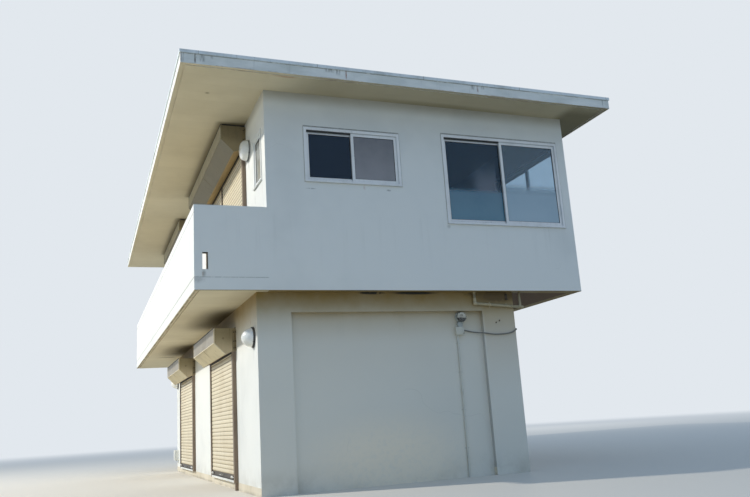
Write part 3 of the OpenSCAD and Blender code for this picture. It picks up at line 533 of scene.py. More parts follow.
looks = {  # paint, dirt and rust; the shares of dirt, runs and rust; roughness; metal
    "capping": ((218, 227, 231), (104, 108, 98), (120, 84, 60), 0.5, 0.45, 0.3, 0.5, 0.1),
    "lowHousing": ((154, 149, 138), (112, 98, 70), (116, 70, 42), 0.5, 0.4, 0.35, 0.46, 0),
    "highHousing": ((172, 165, 143), (96, 86, 64), (116, 70, 42), 0.45, 0.35, 0.3, 0.46, 0),
    "guide": ((134, 118, 102), (66, 56, 48), (120, 76, 48), 0.6, 0.5, 0.5, 0.5, 0.3),
    "bar": ((80, 74, 70), (124, 118, 108), (110, 72, 50), 0.5, 0.4, 0.4, 0.45, 0.4),
    "barrel": ((150, 148, 140), (100, 96, 88), (116, 74, 50), 0.5, 0.2, 0.3, 0.5, 0.7),
    "windowMetal": ((214, 220, 224), (150, 156, 158), (130, 132, 130), 0.45, 0.35, 0.15, 0.36, 0.25),
    # a paler, less metallic copy of the window metal for the sunlit side window: painted light
    "sunlitWindowMetal": ((236, 238, 236), (186, 188, 182), (130, 132, 130), 0.4, 0.3, 0.15, 0.5, 0),
    # hem: pale, for the light along the housings' folds and rims: painted highlight
    "hem": ((232, 222, 196), (150, 134, 100), (116, 70, 42), 0.4, 0.3, 0.3, 0.45, 0),
    "angle": ((142, 128, 98), (84, 74, 50), (116, 70, 42), 0.6, 0.5, 0.5, 0.5, 0),
    "darkMetal": ((74, 66, 50), (50, 44, 32), (116, 70, 42), 0.5, 0.4, 0.6, 0.6, 0.2),
    "lampRim": ((196, 198, 196), (130, 128, 120), (128, 82, 62), 0.5, 0.3, 0.3, 0.4, 0.3),
    "roofSheet": ((150, 154, 152), (104, 104, 96), (92, 88, 72), 0.7, 0.2, 0.3, 0.75, 0),
    "lampMetal": ((84, 84, 84), (56, 54, 52), (128, 82, 62), 0.5, 0.4, 0.5, 0.45, 0.5),
    "meterGrey": ((172, 178, 174), (112, 114, 108), (110, 84, 66), 0.5, 0.5, 0.3, 0.5, 0.1),
    "meterLid": ((204, 202, 188), (136, 136, 128), (110, 84, 66), 0.4, 0.5, 0.3, 0.5, 0),
    "pipeCream": ((178, 165, 132), (130, 118, 88), (120, 100, 70), 0.6, 0.12, 0.1, 0.5, 0),
    "pipeDark": ((74, 72, 72), (48, 46, 44), (100, 74, 56), 0.5, 0.5, 0.2, 0.5, 0),
    "boxWhite": ((226, 228, 224), (160, 158, 146), (126, 88, 62), 0.4, 0.5, 0.2, 0.45, 0),
    "conduit": ((206, 206, 196), (140, 138, 124), (120, 88, 60), 0.5, 0.3, 0.3, 0.5, 0),
    "cable": ((112, 112, 108), (92, 92, 88), (92, 92, 88), 0.6, 0.1, 0, 0.6, 0),
}
special = {  # what some of the looks have besides
    "capping": {"lengths": 1.82},  # of sheet, with a joint between them
    "hem": {"high": (146, 137, 112)},  # darker on the upper storey: painted shade
    # each face of a housing has its own tone for how light falls on it, painted light and shade, and the two
    # storeys' housings are lit and shaded copies
    "lowHousing": {
        "slope": (206, 192, 152), "plate": (198, 182, 150), "plateTop": (152, 140, 108),
        "under": (110, 86, 52), "top": 2.65, "fold": 0.246,
    },
    "highHousing": {
        "slope": (116, 107, 78), "plate": (158, 144, 112), "plateTop": (132, 120, 92),
        "under": (176, 150, 100), "top": 6.175, "fold": 0.251,
    },
}


def foldedSheet(f, face, more):  # a housing's face above the fold, its slope below it, its end plates and its underside, each in its own tone: painted light and shade
    fold = more["top"] - more["fold"]
    colour = f.mix(more["slope"], face, f.z.fade(fold - 0.003, fold + 0.003))
    plate = f.mix(more["plate"], more["plateTop"], f.z.fade(more["top"] - 0.40, more["top"] - 0.05))
    colour = f.mix(colour, plate, f.facing[1].size().fade(0.6, 0.8))
    return f.mix(colour, more["under"], f.facing[2].fade(-0.80, -0.88))


def sheetPaint(name):
    paint, dirt, rust, dirty, runs, rusty, roughness, metal = looks[name]
    more = special.get(name, {})
    f = Finish(name)
    if "fold" in more:
        paint = foldedSheet(f, paint, more)
    if "high" in more:
        paint = f.mix(paint, more["high"], f.z.fade(4.0, 4.5))
    colour = f.mix(paint, dirt, f.noise(2.2, 4, 0.6).fade(0.45, 0.85) * dirty)
    if "lengths" in more:
        along = f.mix((0, 1, 0), (1, 0, 0), (f.y - origin.y).size().fade(6.8, 6.9))
        reach = f.vector("DOT_PRODUCT", f.point, along, 1)
        seam = (reach.cycle(more["lengths"]) - 0.5).size().fade(0.4975, 0.4995)
        colour = f.mix(colour, dirt, seam)
    run = f.noise(1, 4, 0.65, (20, 20, 1.1)).fade(0.54, 0.8)
    chip = f.noise(17, 5, 0.72).fade(0.62, 0.67) * f.noise(1.7, 2).fade(0.52, 0.62)
    colour = f.mix(f.mix(colour, dirt, run * runs), rust, chip * rusty)
    height = f.noise(70, 3) * 0.0003 + f.noise(3.1, 2) * 0.003 - chip * 0.0004
    return f.coat(colour, run * 0.12 + chip * 0.25 + roughness, height, Metallic=metal)


slats = {
    "paint": (229, 218, 191), "faded": (213, 199, 169), "joint": (104, 82, 50), "dirt": (136, 118, 84),
    "pitch": 0.070, "joined": 0.009, "roughness": 0.42,
    "foot": {"ground": 0.242, "balcony": 3.277},  # height of the lowest slat's foot
}


def slatPaint(storey):
    f = Finish(storey + "Slats")
    cloud = f.noise(1.4, 4, 0.6)
    above = f.z - slats["foot"][storey]
    along = above.cycle(slats["pitch"])
    share = slats["joined"] / slats["pitch"]
    # the dark joints are partly dirt and partly painted shade in the grooves
    joint = along.fade(share * 1.3, share * 0.8)
    dust = along.fade(0.45, 0.12) * f.noise(7, 4, 0.7, (1, 1, 0.3)).fade(0.3, 0.7)
    run = f.noise(1, 4, 0.65, (24, 24, 0.7)).fade(0.58, 0.8)
    colour = f.over(slats["paint"], slats, faded=f.chance(above.count(slats["pitch"])) * 0.5)
    colour = f.over(colour, slats, faded=cloud.fade(0.4, 0.7) * 0.7, dirt=dust * 0.30, joint=joint * 0.7)
    colour = f.over(colour, slats, dirt=run * 0.2)
    height = f.noise(2.4, 3, 0.6, (1, 1, 4)) * 0.003 + f.noise(90, 2) * 0.0002
    return f.coat(colour, cloud * 0.1 + joint * 0.3 + slats["roughness"], height)


clear = {"Transmission Weight": 1.0, "IOR": 1.45}
smooth = {
    # colours clean and dusty, or paler; the dust's scale, detail, start and share; roughness, and more of
    # it where dusty; the bump's scale, detail and height; further inputs
    "windowGlass": (
        (0.62, 0.75, 0.86), (0.54, 0.67, 0.78), (3.5, 5, 0.45, 1), (0, 0.05), (0.9, 2, 0.002),
        {**clear, "Specular Tint": (0.30, 0.45, 0.70)}),
    "lampGlass": (
        (246, 247, 244), (206, 206, 196), (9, 5, 0.4, 0.6), (0.2, 0.2), (30, 2, 0.0003),
        {"Coat Weight": 0.5, "Coat Roughness": 0.05}),
    "meterGlass": ((0.86, 0.88, 0.87), (0.6, 0.62, 0.6), (18, 4, 0.45, 1), (0.01, 0.08), None, clear),
    "rubber": ((46, 48, 50), None, (6, 5, 0.45, 0.5), (0.6, 0.15), (55, 3, 0.0004), {}),
    "sealant": ((188, 188, 182), None, (6, 5, 0.45, 0.5), (0.7, 0.15), (55, 3, 0.002), {}),
    "zinc": ((176, 178, 178), None, (6, 5, 0.45, 0.5), (0.35, 0.15), (55, 3, 0.0004), {"Metallic": 0.8}),
    "whitePlastic": ((226, 226, 220), None, (6, 5, 0.45, 0.5), (0.4, 0.15), (55, 3, 0.0004), {}),
}


def smoothPaint(name, clean, dusty, dust, rough, bump, more):
    f = Finish(name)
    scale, detail, start, share = dust
    dust = f.noise(scale, detail, 0.7).fade(start, 0.8)
    dusty = dusty or [min(1, c * 1.5 + 0.03) for c in linear(clean)]
    height = f.noise(*bump[:2]) * bump[2] if bump else None
    return f.coat(f.mix(clean, dusty, dust * share), dust * rough[1] + rough[0], height, **more)


finishes = {name: sheetPaint(name) for name in looks}
for name, values in smooth.items():
    finishes[name] = smoothPaint(name, *values)
for look, names in {
    "capping": ["roof_capping"],
    "lowHousing": ["ground_shutter_boxes"],
    "highHousing": ["balcony_shutter_boxes"],
    "guide": ["ground_shutter_guides", "balcony_shutter_guides"],
    "bar": ["shutter_bottom_bars"],
    "barrel": ["shutter_barrels"],
    "windowMetal": [
        "front_window_frames", "front_window_sashes", "rear_window_frames", "rear_window_sashes",
    ],
    "sunlitWindowMetal": ["side_window_frame"],
    "lampMetal": ["lamp_bases"],
    "meterGrey": ["electric_meter", "meter_conduit"],
    "pipeCream": ["drain_pipe"],
    "pipeDark": ["downpipe"],
    "boxWhite": ["outlet_box"],
    "cable": ["meter_cable"],
    "windowGlass": ["front_window_glass", "side_window_glass", "rear_window_glass"],
    "lampGlass": ["lamp_domes"],
}.items():
    dress(finishes[look], *names)
for storey in slats["foot"]:
    dress(slatPaint(storey), storey + "_shutters")
print("metal and glass finished")


west, south, up = Vector((-1, 0, 0)), Vector((0, -1, 0)), Vector((0, 0, 1))


# shapes that the fittings share; an extent is a pair of ends along one axis
def grown(extent, by):
    return extent[0] - by, extent[1] + by


def either(middle, by):
    return middle - by, middle + by


def spaced(start, end, count):
    return [start + (end - start) * i / (count - 1) for i in range(count)]


def spoke(degrees, across):  # a direction in the plane across an axis: 0 is X, 1 is Y, 2 is Z
    parts = [math.cos(math.radians(degrees)), math.sin(math.radians(degrees))]
    parts.insert(across, 0)
    return Vector(parts)


def moved(made, matrix):
    bmesh.ops.transform(made, matrix=matrix, verts=made.verts)
    return made


def softened(made, width, sharpest=math.radians(30)):
    if width:
        edges = [e for e in made.edges if e.calc_face_angle(0) > sharpest]
        bmesh.ops.bevel(made, geom=edges, offset=width, segments=2, profile=0.5, affect="EDGES", material=-1)
    return made


def block(x, y, z, soften=0.0):
    low, high = (Vector(corner) for corner in zip(*map(sorted, (x, y, z))))
    made = bmesh.new()
    bmesh.ops.create_cube(made, size=1)
    bmesh.ops.scale(made, vec=high - low, verts=made.verts)
    bmesh.ops.translate(made, vec=(high + low) / 2, verts=made.verts)
    return softened(made, soften)


def about(place, half, soften=0.0):  # a block round its middle
    return block(*map(either, place, half), soften)


def toward(start, direction):  # a matrix that lays local Z along a direction
    return Matrix.Translation(start) @ Vector(direction).to_track_quat("Z", "Y").to_matrix().to_4x4()


def strip(start, end, width, thick, soften=0.0):  # a flat bar between two points of one XZ plane
    start, end = Vector(start), Vector(end)
    made = block((-width / 2, width / 2), (-thick / 2, thick / 2), (0, (end - start).length), soften)
    return moved(made, toward(start, end - start))


def rod(start, end, radius, tip=None, sides=16, soften=0.0):
    start, end = Vector(start), Vector(end)
    made = bmesh.new()
    bmesh.ops.create_cone(
        made, cap_ends=True, segments=sides, radius1=radius, radius2=radius if tip is None else tip,
        depth=(end - start).length)
    return softened(moved(made, toward((start + end) / 2, end - start)), soften)


def turned(outline, start, direction, sides=32):  # outline: (radius, height) pairs, spun round the axis
    made = bmesh.new()
    row = [made.verts.new((radius, 0, height)) for radius, height in outline]
    edges = [made.edges.new(pair) for pair in zip(row, row[1:])]
    bmesh.ops.spin(
        made, geom=row + edges, angle=math.tau, steps=sides, axis=(0, 0, 1), cent=(0, 0, 0),
        use_merge=True, use_duplicate=False)
    bmesh.ops.remove_doubles(made, verts=made.verts, dist=1e-6)
    bmesh.ops.recalc_face_normals(made, faces=made.faces)
    return moved(made, toward(start, direction))


def ring(x, z, width, y, soften=0.0):  # a flat frame in the XZ plane, with its depth along Y
    made = bmesh.new()
    bmesh.ops.create_grid(made, x_segments=1, y_segments=1, size=0.5)
    bmesh.ops.scale(made, vec=(x[1] - x[0], z[1] - z[0], 1), verts=made.verts)
    inset = bmesh.ops.inset_region(
        made, faces=made.faces[:], thickness=width, use_even_offset=True, use_boundary=True)
    middle = [f for f in made.faces if f not in inset["faces"]]
    bmesh.ops.delete(made, geom=middle, context="FACES_ONLY")
    out = bmesh.ops.extrude_face_region(made, geom=made.faces[:])["geom"]
    verts = [v for v in out if isinstance(v, bmesh.types.BMVert)]
    bmesh.ops.translate(made, vec=(0, 0, y[1] - y[0]), verts=verts)
    bmesh.ops.recalc_face_normals(made, faces=made.faces)
    place = Matrix.Translation((sum(x) / 2, y[1], sum(z) / 2))
    return softened(moved(made, place @ turn(90, "X")), soften)


def screw(place, direction, radius=0.006):
    place, direction = Vector(place), Vector(direction)
    return rod(place - direction * 0.002, place + direction * radius * 0.6, radius, radius * 0.6, 10)


def bolt(place, direction, radius=0.011):  # washer, hexagon head and the end of the stud
    place, direction = Vector(place), Vector(direction)
    heights = [place + direction * height for height in (-0.002, 0.003, 0.011, 0.017)]
    whole = bmesh.new()
    for start, end, size, sides in zip(heights, heights[1:], (1.5, 1.0, 0.5), (16, 6, 8)):
        add(whole, rod(start, end, radius * size, sides=sides))
    return whole


def add(whole, part):  # moves one bmesh into another
    holder = bpy.data.meshes.new("part")
    part.to_mesh(holder)
    part.free()
    whole.from_mesh(holder)
    bpy.data.meshes.remove(holder)


slotOf = {part["node"]: part["material_slot"] for part in frame["record"]["subparts"]}


def piece(name, shapes, look, owner, replaced=False, sharp=40):  # owner: a CAD node, or a slot
    whole = bmesh.new()
    for shape in shapes:
        add(whole, shape)
    bmesh.ops.translate(whole, vec=-origin, verts=whole.verts)
    data = bpy.data.meshes.new(name)
    whole.to_mesh(data)
    whole.free()
    data.polygons.foreach_set("use_smooth", [True] * len(data.polygons))
    data.set_sharp_from_angle(angle=math.radians(sharp))
    data.materials.append(finishes[look])
    made = linked(name, data)
    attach(made, "root")
    slotOf.get(owner, owner)
    if replaced:
        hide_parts(owner)


def merged(node):  # a CAD node's mesh with its triangles joined, in the CAD source's own places
    made = bmesh.new()
    made.from_mesh(nodes[node].data)
    bmesh.ops.remove_doubles(made, verts=made.verts, dist=1e-5)
    bmesh.ops.translate(made, vec=origin, verts=made.verts)
    return made


def solids(node):  # the boxes of a node's separate solids, from the front of the building to its back
    made = merged(node)
    left = set(made.verts)
    found = []
    while left:
        todo = [left.pop()]
        group = []
        while todo:
            vert = todo.pop()
            group.append(vert.co.copy())
            near = [e.other_vert(vert) for e in vert.link_edges]
            todo += [v for v in near if v in left]
            left.difference_update(near)
        found.append(tuple(Vector(pick(c[i] for c in group) for i in range(3)) for pick in (min, max)))
    made.free()
    return sorted(found, key=lambda pair: (round(pair[0].y, 3), round(pair[0].z, 3), round(pair[0].x, 3)))


for node, look in (("drain_pipe", "pipeCream"), ("downpipe", "pipeDark"), ("meter_conduit", "conduit")):
    piece(node + "_round", [merged(node)], look, node, True, 35)
print("round pipes smoothed")


window = {
    "nose": 0.034,  # how far the frame stands out of the wall
    "frame": 0.045, "sash": 0.048, "sashDepth": 0.028, "firstSash": 0.010, "gap": 0.006, "play": 0.002,
    "pane": 0.006, "bead": 0.007, "beadDepth": 0.0085, "seal": 0.012, "soften": 0.0015,
}
films = {  # film outside the panes: share covered, length it melts out over, haze above it, and its colours
    ("front", 0, 0): (1.0, 0.001, 0.0, (92, 100, 112), (128, 132, 140)),
    ("front", 1, 0): (0.52, 0.26, 0.20, (144, 174, 192), (156, 184, 200)),
    ("front", 1, 1): (0.42, 0.11, 0.06, (50, 108, 136), (60, 122, 148)),
    ("left", 0, 0): (1.0, 0.001, 0.0, (140, 142, 138), (156, 158, 152)),
}
paintedReflection = {  # painted reflection: a pale patch on the big window's left pane
    "pane": ("front", 1, 1), "x": (4.68, 4.95), "edge": (5.27, 5.22), "z": (5.40, 4.82), "body": 0.36,
    "tone": (120, 136, 156),
}


def filmFinish(name, low, high, film, patch=None):
    share, melt, haze, upper, lower = film
    f = Finish(name)
    cloud = f.noise(2.6, 4, 0.6).fade(0.3, 0.8) * 0.25
    colour = f.mix(lower, upper, f.z.fade(low, high) * 0.8 + cloud)
    body = f.z.fade(high, high - melt) * (1 - haze) + haze
    # painted reflection: a pale patch laid over the film
    if patch:
        pale = f.x.fade(*patch["x"]) * f.x.fade(*patch["edge"]) * f.z.fade(*patch["z"])
        colour = f.mix(colour, patch["tone"], pale * (1 - body))
        body = body + pale * (1 - body) * patch["body"]
    others = {"Coat Weight": 1.0, "Coat Roughness": 0.04, "Alpha": body * 0.94}
    return f.coat(colour, cloud + 0.45, cloud * 0.002, **others)


walls = {  # how each wall's windows are set: a turn about Z, and the corner that the turn starts from
    "front": (0, 0, 0), "right": (90, 1, 0), "back": (180, 1, 1), "left": (-90, 0, 1),
}
beadsAndShadeStrips, seals, catches, pulls = [], [], [], []


def placedOn(side, low, high, depth):  # from a window's own places to the building's
    degrees, alongX, alongY = walls[side]
    facing = turn(degrees, "Z")
    corner = Vector(((low.x, high.x)[alongX], (low.y, high.y)[alongY], low.z))
    return Matrix.Translation(corner + facing @ Vector((0, depth, 0))) @ facing


def glaze(side, number, low, high, sliding=True):
    w = window
    at = placedOn(side, low, high, w["nose"])
    width = high.y - low.y if side in ("right", "left") else high.x - low.x
    height = high.z - low.z
    edge, stile, deep, seal = w["frame"], w["sash"], w["sashDepth"], w["seal"]
    tracks = [w["firstSash"], w["firstSash"] + deep + w["gap"]]
    sashWidth = (width - 2 * edge + stile) / 2 if sliding else width - 2 * edge

    def put(group, shape):
        group.append(moved(shape, at))

    outside = grown((0, width), seal), (-0.004, height + seal)
    put(seals, ring(*outside, seal + 0.002, (-0.003, 0.001), w["soften"]))
    for i in range(2 if sliding else 1):
        x = edge if i or not sliding else width - edge - sashWidth
        z = edge + w["play"] + stile
        paneX, paneZ = (x + stile, x + sashWidth - stile), (z, height - z)
        for start in (tracks[i] + 0.003, tracks[i] + 0.0165):
            rim = grown(paneX, 0.001), grown(paneZ, 0.001)
            put(beadsAndShadeStrips, ring(*rim, w["bead"], (start, start + w["beadDepth"]), w["soften"]))
        pane = (side, number, i)
        if pane in films:
            haze = films[pane][2]
            top = z + (paneZ[1] - z) * films[pane][0]
            face = tracks[i] + (deep - w["pane"]) / 2 - 0.0002
            reach = (z + 0.004, (paneZ[1] if haze else top) - 0.004)
            film = block(grown(paneX, -0.004), (face - 0.001, face), reach)
            name = f"window_film_{side}_{number}_{i}"
            patch = paintedReflection if pane == paintedReflection["pane"] else None
            finishes[name] = filmFinish(name, low.z + z, low.z + top, films[pane], patch)
            piece(name, [moved(film, at)], name, "window_glass")
    if sliding:
        for shape in latch(width / 2, tracks[1] + deep, height * 0.52):
            put(catches, shape)
        # dark strips in the empty halves of the head and sill tracks: painted shade
        gap = (edge + 0.001, edge + sashWidth - stile), (0.004, 0.042)
        put(beadsAndShadeStrips, block(*gap, (height - edge - 0.020, height - edge + 0.001), 0.001))
        put(beadsAndShadeStrips, block(*gap, (edge - 0.001, edge + 0.006)))
        for x, y in ((width - edge - stile / 2, tracks[0]), (edge + stile / 2, tracks[1])):
            put(pulls, pullCup(x, y, height * 0.45))
    along = grown((0, width), 0.002)
    # dark strips under the sill and over the head: painted shade
    put(beadsAndShadeStrips, block(along, (0.012, w["nose"]), (-0.013, -0.0005), 0.002))
    put(beadsAndShadeStrips, block(along, (0.014, w["nose"]), (height + 0.0005, height + 0.013), 0.002))
    for x in (width * 0.2, width * 0.8):
        put(pulls, block(either(x, 0.02), (-0.0145, -0.010), (0.024, 0.034), 0.0015))


def latch(x, y, z):  # crescent catch on the room side of the meeting stiles
    yield block(either(x, 0.012), (y - 0.001, y + 0.012), either(z, 0.04), 0.003)
    outline = [(0, 0), (0.022, 0), (0.022, 0.008), (0.012, 0.011), (0, 0.011)]
    yield turned(outline, (x, y + 0.012, z), -south, 20)
    yield rod((x, y + 0.018, z), (x + 0.005, y + 0.028, z + 0.055), 0.006, 0.0045, 12)


def pullCup(x, y, z):
    return ring(either(x, 0.013), either(z, 0.045), 0.005, (y - 0.003, y + 0.001), 0.001)


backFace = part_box("upper_back_wall")[1].y + origin.y
for number, (low, high) in enumerate(sorted(solids("front_window_frames"), key=lambda pair: pair[0].x)):
    glaze("front", number, low, high)
for number, (low, high) in enumerate(solids("rear_window_frames")):
    glaze("back" if high.y > backFace else "right", number, low, high)
for low, high in solids("side_window_frame"):
    glaze("left", 0, low, high, False)
piece("window_beads_and_shade_strips", beadsAndShadeStrips, "rubber", "window_metal")
piece("window_seals", seals, "sealant", "window_metal")
piece("window_catches", catches, "zinc", "window_metal")
piece("window_pulls", pulls, "windowMetal", "window_metal")
print("windows fitted")

shutterFit = {
    "face": {"ground": 0.246, "balcony": 0.251},  # height of a housing's upright face
    "lip": {"ground": 0.178, "balcony": 0.206},  # from the wall to the slope's lower end
    "mouth": (0.062, 0.054),  # the gap's back edge: from the wall, and above the housing's foot
    "hem": 0.012, "hemProud": 0.005, "rim": 0.014, "rimProud": 0.004, "lap": 0.040, "lapLength": 2.1,
    "angle": 0.060, "screwGap": 0.40, "packing": 0.034, "axle": (0.212, 0.277),
    "lock": (0.016, 0.130, 0.036), "lockInset": 0.19,
}
hems, angles, fixings, dark, locks, handles = [], [], [], [], [], []
laps = {"ground": [], "balcony": []}


def fitHousing(low, high, storey):
    s = shutterFit
    top, back, front = high.z, high.x, low.x + 0.003
    fold = top - 0.003 - s["face"][storey]
    lipX, lipZ = back - s["lip"][storey], low.z + 0.004
    ends, tall = (low.y, high.y), (low.z + 0.06, top - 0.03)
    hem = (front - s["hemProud"], front + 0.002), ends, (fold - 0.006, fold - 0.006 + s["hem"])
    hems.append(block(*hem, 0.002))
    for y, out in ((low.y, -1), (high.y, 1)):
        rim = (y + out * s["rimProud"], y - out * 0.010)
        hems.append(block((front - 0.002, front + s["rim"]), rim, (fold, top), 0.0015))
        start, end = (front + 0.004, sum(rim) / 2, fold), (lipX + 0.004, sum(rim) / 2, lipZ)
        hems.append(strip(start, end, s["rimProud"] + 0.010, s["rim"], 0.0015))
        angles.append(block((back - 0.004, back + 0.001), (y, y + out * s["angle"]), tall, 0.001))
        angles.append(block((back - s["angle"], back), (y, y + out * 0.005), tall, 0.001))
        for z in (low.z + 0.11, (low.z + top) / 2, top - 0.07):
            fixings.append(bolt((back - 0.004, y + out * s["angle"] * 0.6, z), west, 0.008))
            fixings.append(bolt((back - s["angle"] * 0.55, y + out * 0.005, z), (0, out, 0), 0.007))
        angles.append(bolt((back - s["axle"][0], y, low.z + s["axle"][1]), (0, out, 0), 0.013))
        for x, z in ((front + 0.03, top - 0.03), (front + 0.03, fold + 0.02), (back - 0.10, top - 0.03)):
            fixings.append(screw((x, y, z), (0, out, 0), 0.005))
    count = max(1, round((high.y - low.y) / s["lapLength"]) - 1)
    for y in spaced(*ends, count + 2)[1:-1]:
        face = (front - 0.002, front + 0.001), either(y, s["lap"] / 2), (fold + 0.006, top - 0.004)
        start, end = (front + 0.001, y, fold - 0.006), (lipX, y, lipZ + 0.002)
        laps[storey] += [block(*face, 0.001), strip(start, end, s["lap"], 0.004, 0.001)]
        for z in (fold + 0.03, (fold + top) / 2, top - 0.03):
            fixings.append(screw((front - 0.002, y - 0.012, z), west, 0.0045))
    for y in spaced(*grown(ends, -0.05), round((high.y - low.y) / s["screwGap"]) + 1):
        fixings.append(screw((front, y, fold + 0.022), west, 0.004))
    x, z = back - s["mouth"][0], low.z + s["mouth"][1]
    # a dark strip in the housing's mouth and one along its top front edge: painted shade
    dark.append(block((x - 0.003, x + 0.004), grown(ends, -0.09), (z - 0.034, z + 0.004), 0.001))
    dark.append(block((front - 0.004, front + 0.012), grown(ends, 0.002), (top - 0.006, top + 0.012), 0.003))
    if storey == "balcony":  # dark packing that fills the gap between the housing and the roof: painted shade
        dark.append(block((front + 0.03, back), grown(ends, -0.02), (top - 0.004, top + s["packing"])))
    else:
        dark.append(block((back - 0.014, back + 0.001), ends, (top - 0.002, top + 0.012), 0.003))


def fitGuide(low, high, entries):
    middle = (low.y + high.y) / 2
    for z in spaced(low.z + 0.12, high.z - 0.12, round((high.z - low.z) / 0.45)):
        fixings.append(screw((low.x, middle, z), west, 0.0055))
    for y in entries:  # brush strips where the curtain enters
        thick = (y, y + (0.006 if y > middle else -0.006))
        for x in (low.x + 0.010, low.x + 0.0395):
            dark.append(block((x, x + 0.0065), thick, (low.z + 0.16, high.z - 0.06)))


def fitBar(low, high):
    deep, wide, tall = shutterFit["lock"]
    inset = shutterFit["lockInset"]
    x, y, z = low.x, (low.y + high.y) / 2, (low.z + high.z) / 2 + 0.006
    long = (low.y + 0.004, high.y - 0.004)
    dark.append(block((x - 0.002, x + 0.012), long, (low.z, low.z + 0.013), 0.002))
    for place, out in ((low.y + inset, -1), (high.y - inset, 1)):
        locks.append(about((x - deep / 2, place, z), (deep / 2, wide / 2, tall / 2), 0.004))
        reach = (x - 0.008, place + out * wide / 2, z), (x - 0.008, place + out * 0.155, z)
        locks.append(rod(*reach, 0.006, sides=12))
        outline = [(0, 0), (0.011, 0), (0.012, 0.008), (0.009, 0.014), (0, 0.015)]
        locks.append(turned(outline, (x - deep, place, z), west, 16))
        for step in (-0.045, 0.045):
            fixings.append(screw((x - deep, place + step, z), west, 0.004))
    for place in (y - 0.085, y + 0.085):
        handles.append(rod((x + 0.001, place, z), (x - 0.034, place, z), 0.006, sides=12))
        handles.append(turned([(0, 0), (0.016, 0), (0.015, 0.003), (0, 0.004)], (x, place, z), west, 16))
    handles.append(rod((x - 0.032, y - 0.092, z), (x - 0.032, y + 0.092, z), 0.007, sides=14, soften=0.002))


for storey in ("ground", "balcony"):
    for low, high in solids(storey + "_shutter_boxes"):
        fitHousing(low, high, storey)
    edges = [corner.y for curtain in solids(storey + "_shutters") for corner in curtain]
    for low, high in solids(storey + "_shutter_guides"):
        fitGuide(low, high, [y for y in (low.y, high.y) if any(abs(y - edge) < 0.045 for edge in edges)])
for low, high in solids("shutter_bottom_bars"):
    fitBar(low, high)
piece("housing_hems", hems, "hem", "housing")
piece("housing_laps_low", laps["ground"], "lowHousing", "housing")
piece("housing_laps_high", laps["balcony"], "highHousing", "housing")
piece("housing_angles", angles, "angle", "guide_metal")
piece("shutter_fixings", fixings, "darkMetal", "guide_metal")
piece("shutter_seals_and_shade_strips", dark, "rubber", "guide_metal")
piece("bar_locks", locks, "whitePlastic", "guide_metal")
piece("bar_handles", handles, "zinc", "guide_metal")
print("shutters fitted")

lamps = {  # radii of the plate, neck, rim and dome, the dome's depth, and how full its curve is
    "ground": (0.163, 0.132, 0.147, 0.144, 0.160, 1.9),
    "balcony": (0.188, 0.172, 0.184, 0.180, 0.132, 2.7),
    "thick": 0.012, "steps": 18,
}


def domeOutline(radius, depth, full):
    yield 0, 0
    for i in range(lamps["steps"]):
        angle = math.pi / 2 * i / lamps["steps"]
        yield radius * math.cos(angle) ** (2 / full), depth * math.sin(angle) ** (2 / full)
    yield 0, depth


plates, rims, domes, gaskets, clamps = {"ground": [], "balcony": []}, [], [], [], []
for low, high in solids("lamp_bases"):
    storey = "ground" if high.z < 3 else "balcony"
    plate, neck, rim, dome, depth, full = lamps[storey]
    place = Vector((high.x, (low.y + high.y) / 2, (low.z + high.z) / 2))
    t = lamps["thick"]
    outline = [(0, 0), (plate, 0), (plate, t * 0.6), (plate - 0.004, t), (neck, t), (0, t)]
    plates[storey].append(turned(outline, place, west, 64))
    outline = [(0, t - 0.001), (neck, t - 0.001), (neck, 0.020), (rim - 0.004, 0.021), (0, 0.021)]
    rims.append(turned(outline, place, west, 64))
    inner = dome - 0.006
    outside = [(rim, 0.020), (rim + 0.002, 0.023), (rim, 0.028), (rim - 0.003, 0.031)]
    gaskets.append(turned([(inner, 0.020), *outside, (inner, 0.031), (inner, 0.020)], place, west, 64))
    outline = list(domeOutline(dome, depth - 0.002, full))
    domes.append(turned(outline, place + west * 0.0285, west, 64))
    for degrees in (90, 210, 330):
        grip = place + spoke(degrees, 0) * (rim + 0.004) + west * 0.025
        clamps.append(about(grip, (0.009, 0.009, 0.009), 0.003))
        clamps.append(screw(grip + west * 0.009, west, 0.005))
piece("lamp_plates_low", plates["ground"], "lampMetal", "lamp_bases", True)
piece("lamp_plate_high", plates["balcony"], "lampRim", "lamp_bases", True)
piece("lamp_necks", rims, "lampRim", "lamp_bases", True)
piece("lamp_gaskets", gaskets, "rubber", "lamp_bases", True)
piece("lamp_clamps", clamps, "lampMetal", "lamp_bases")
piece("lamp_domes_opal", domes, "lampGlass", "lamp_domes", True, 60)
print("lamps fitted")

meter = {
    "middle": (4.36, 2.55), "radius": 0.092, "base": 0.042, "cover": 0.104, "dial": 0.070,
    "neck": (4.335, 2.43), "neckRadius": 0.050, "neckDepth": 0.052,
    "boxX": (4.242, 4.392), "boxZ": (2.255, 2.389), "boxDepth": 0.060,
    "pale": (206, 210, 204), "darkFace": (44, 46, 46), "digits": "04127", "wall": 0.21,
}


def meshOf(curve):  # a curve or text as a bmesh
    holder = linked("curve", curve)
    bpy.context.view_layer.update()
    data = bpy.data.meshes.new_from_object(holder)
    made = bmesh.new()
    made.from_mesh(data)
    bpy.data.objects.remove(holder)
    bpy.data.curves.remove(curve)
    bpy.data.meshes.remove(data)
    bmesh.ops.remove_doubles(made, verts=made.verts, dist=1e-6)
    return made


def numeral(text, size, place):  # raised digits that look along -Y
    curve = bpy.data.curves.new("numeral", "FONT")
    curve.body = text
    curve.size = size
    curve.align_x = "CENTER"
    curve.align_y = "CENTER"
    curve.extrude = 0.0003
    curve.resolution_u = 2
    return moved(meshOf(curve), Matrix.Translation(place) @ turn(90, "X"))


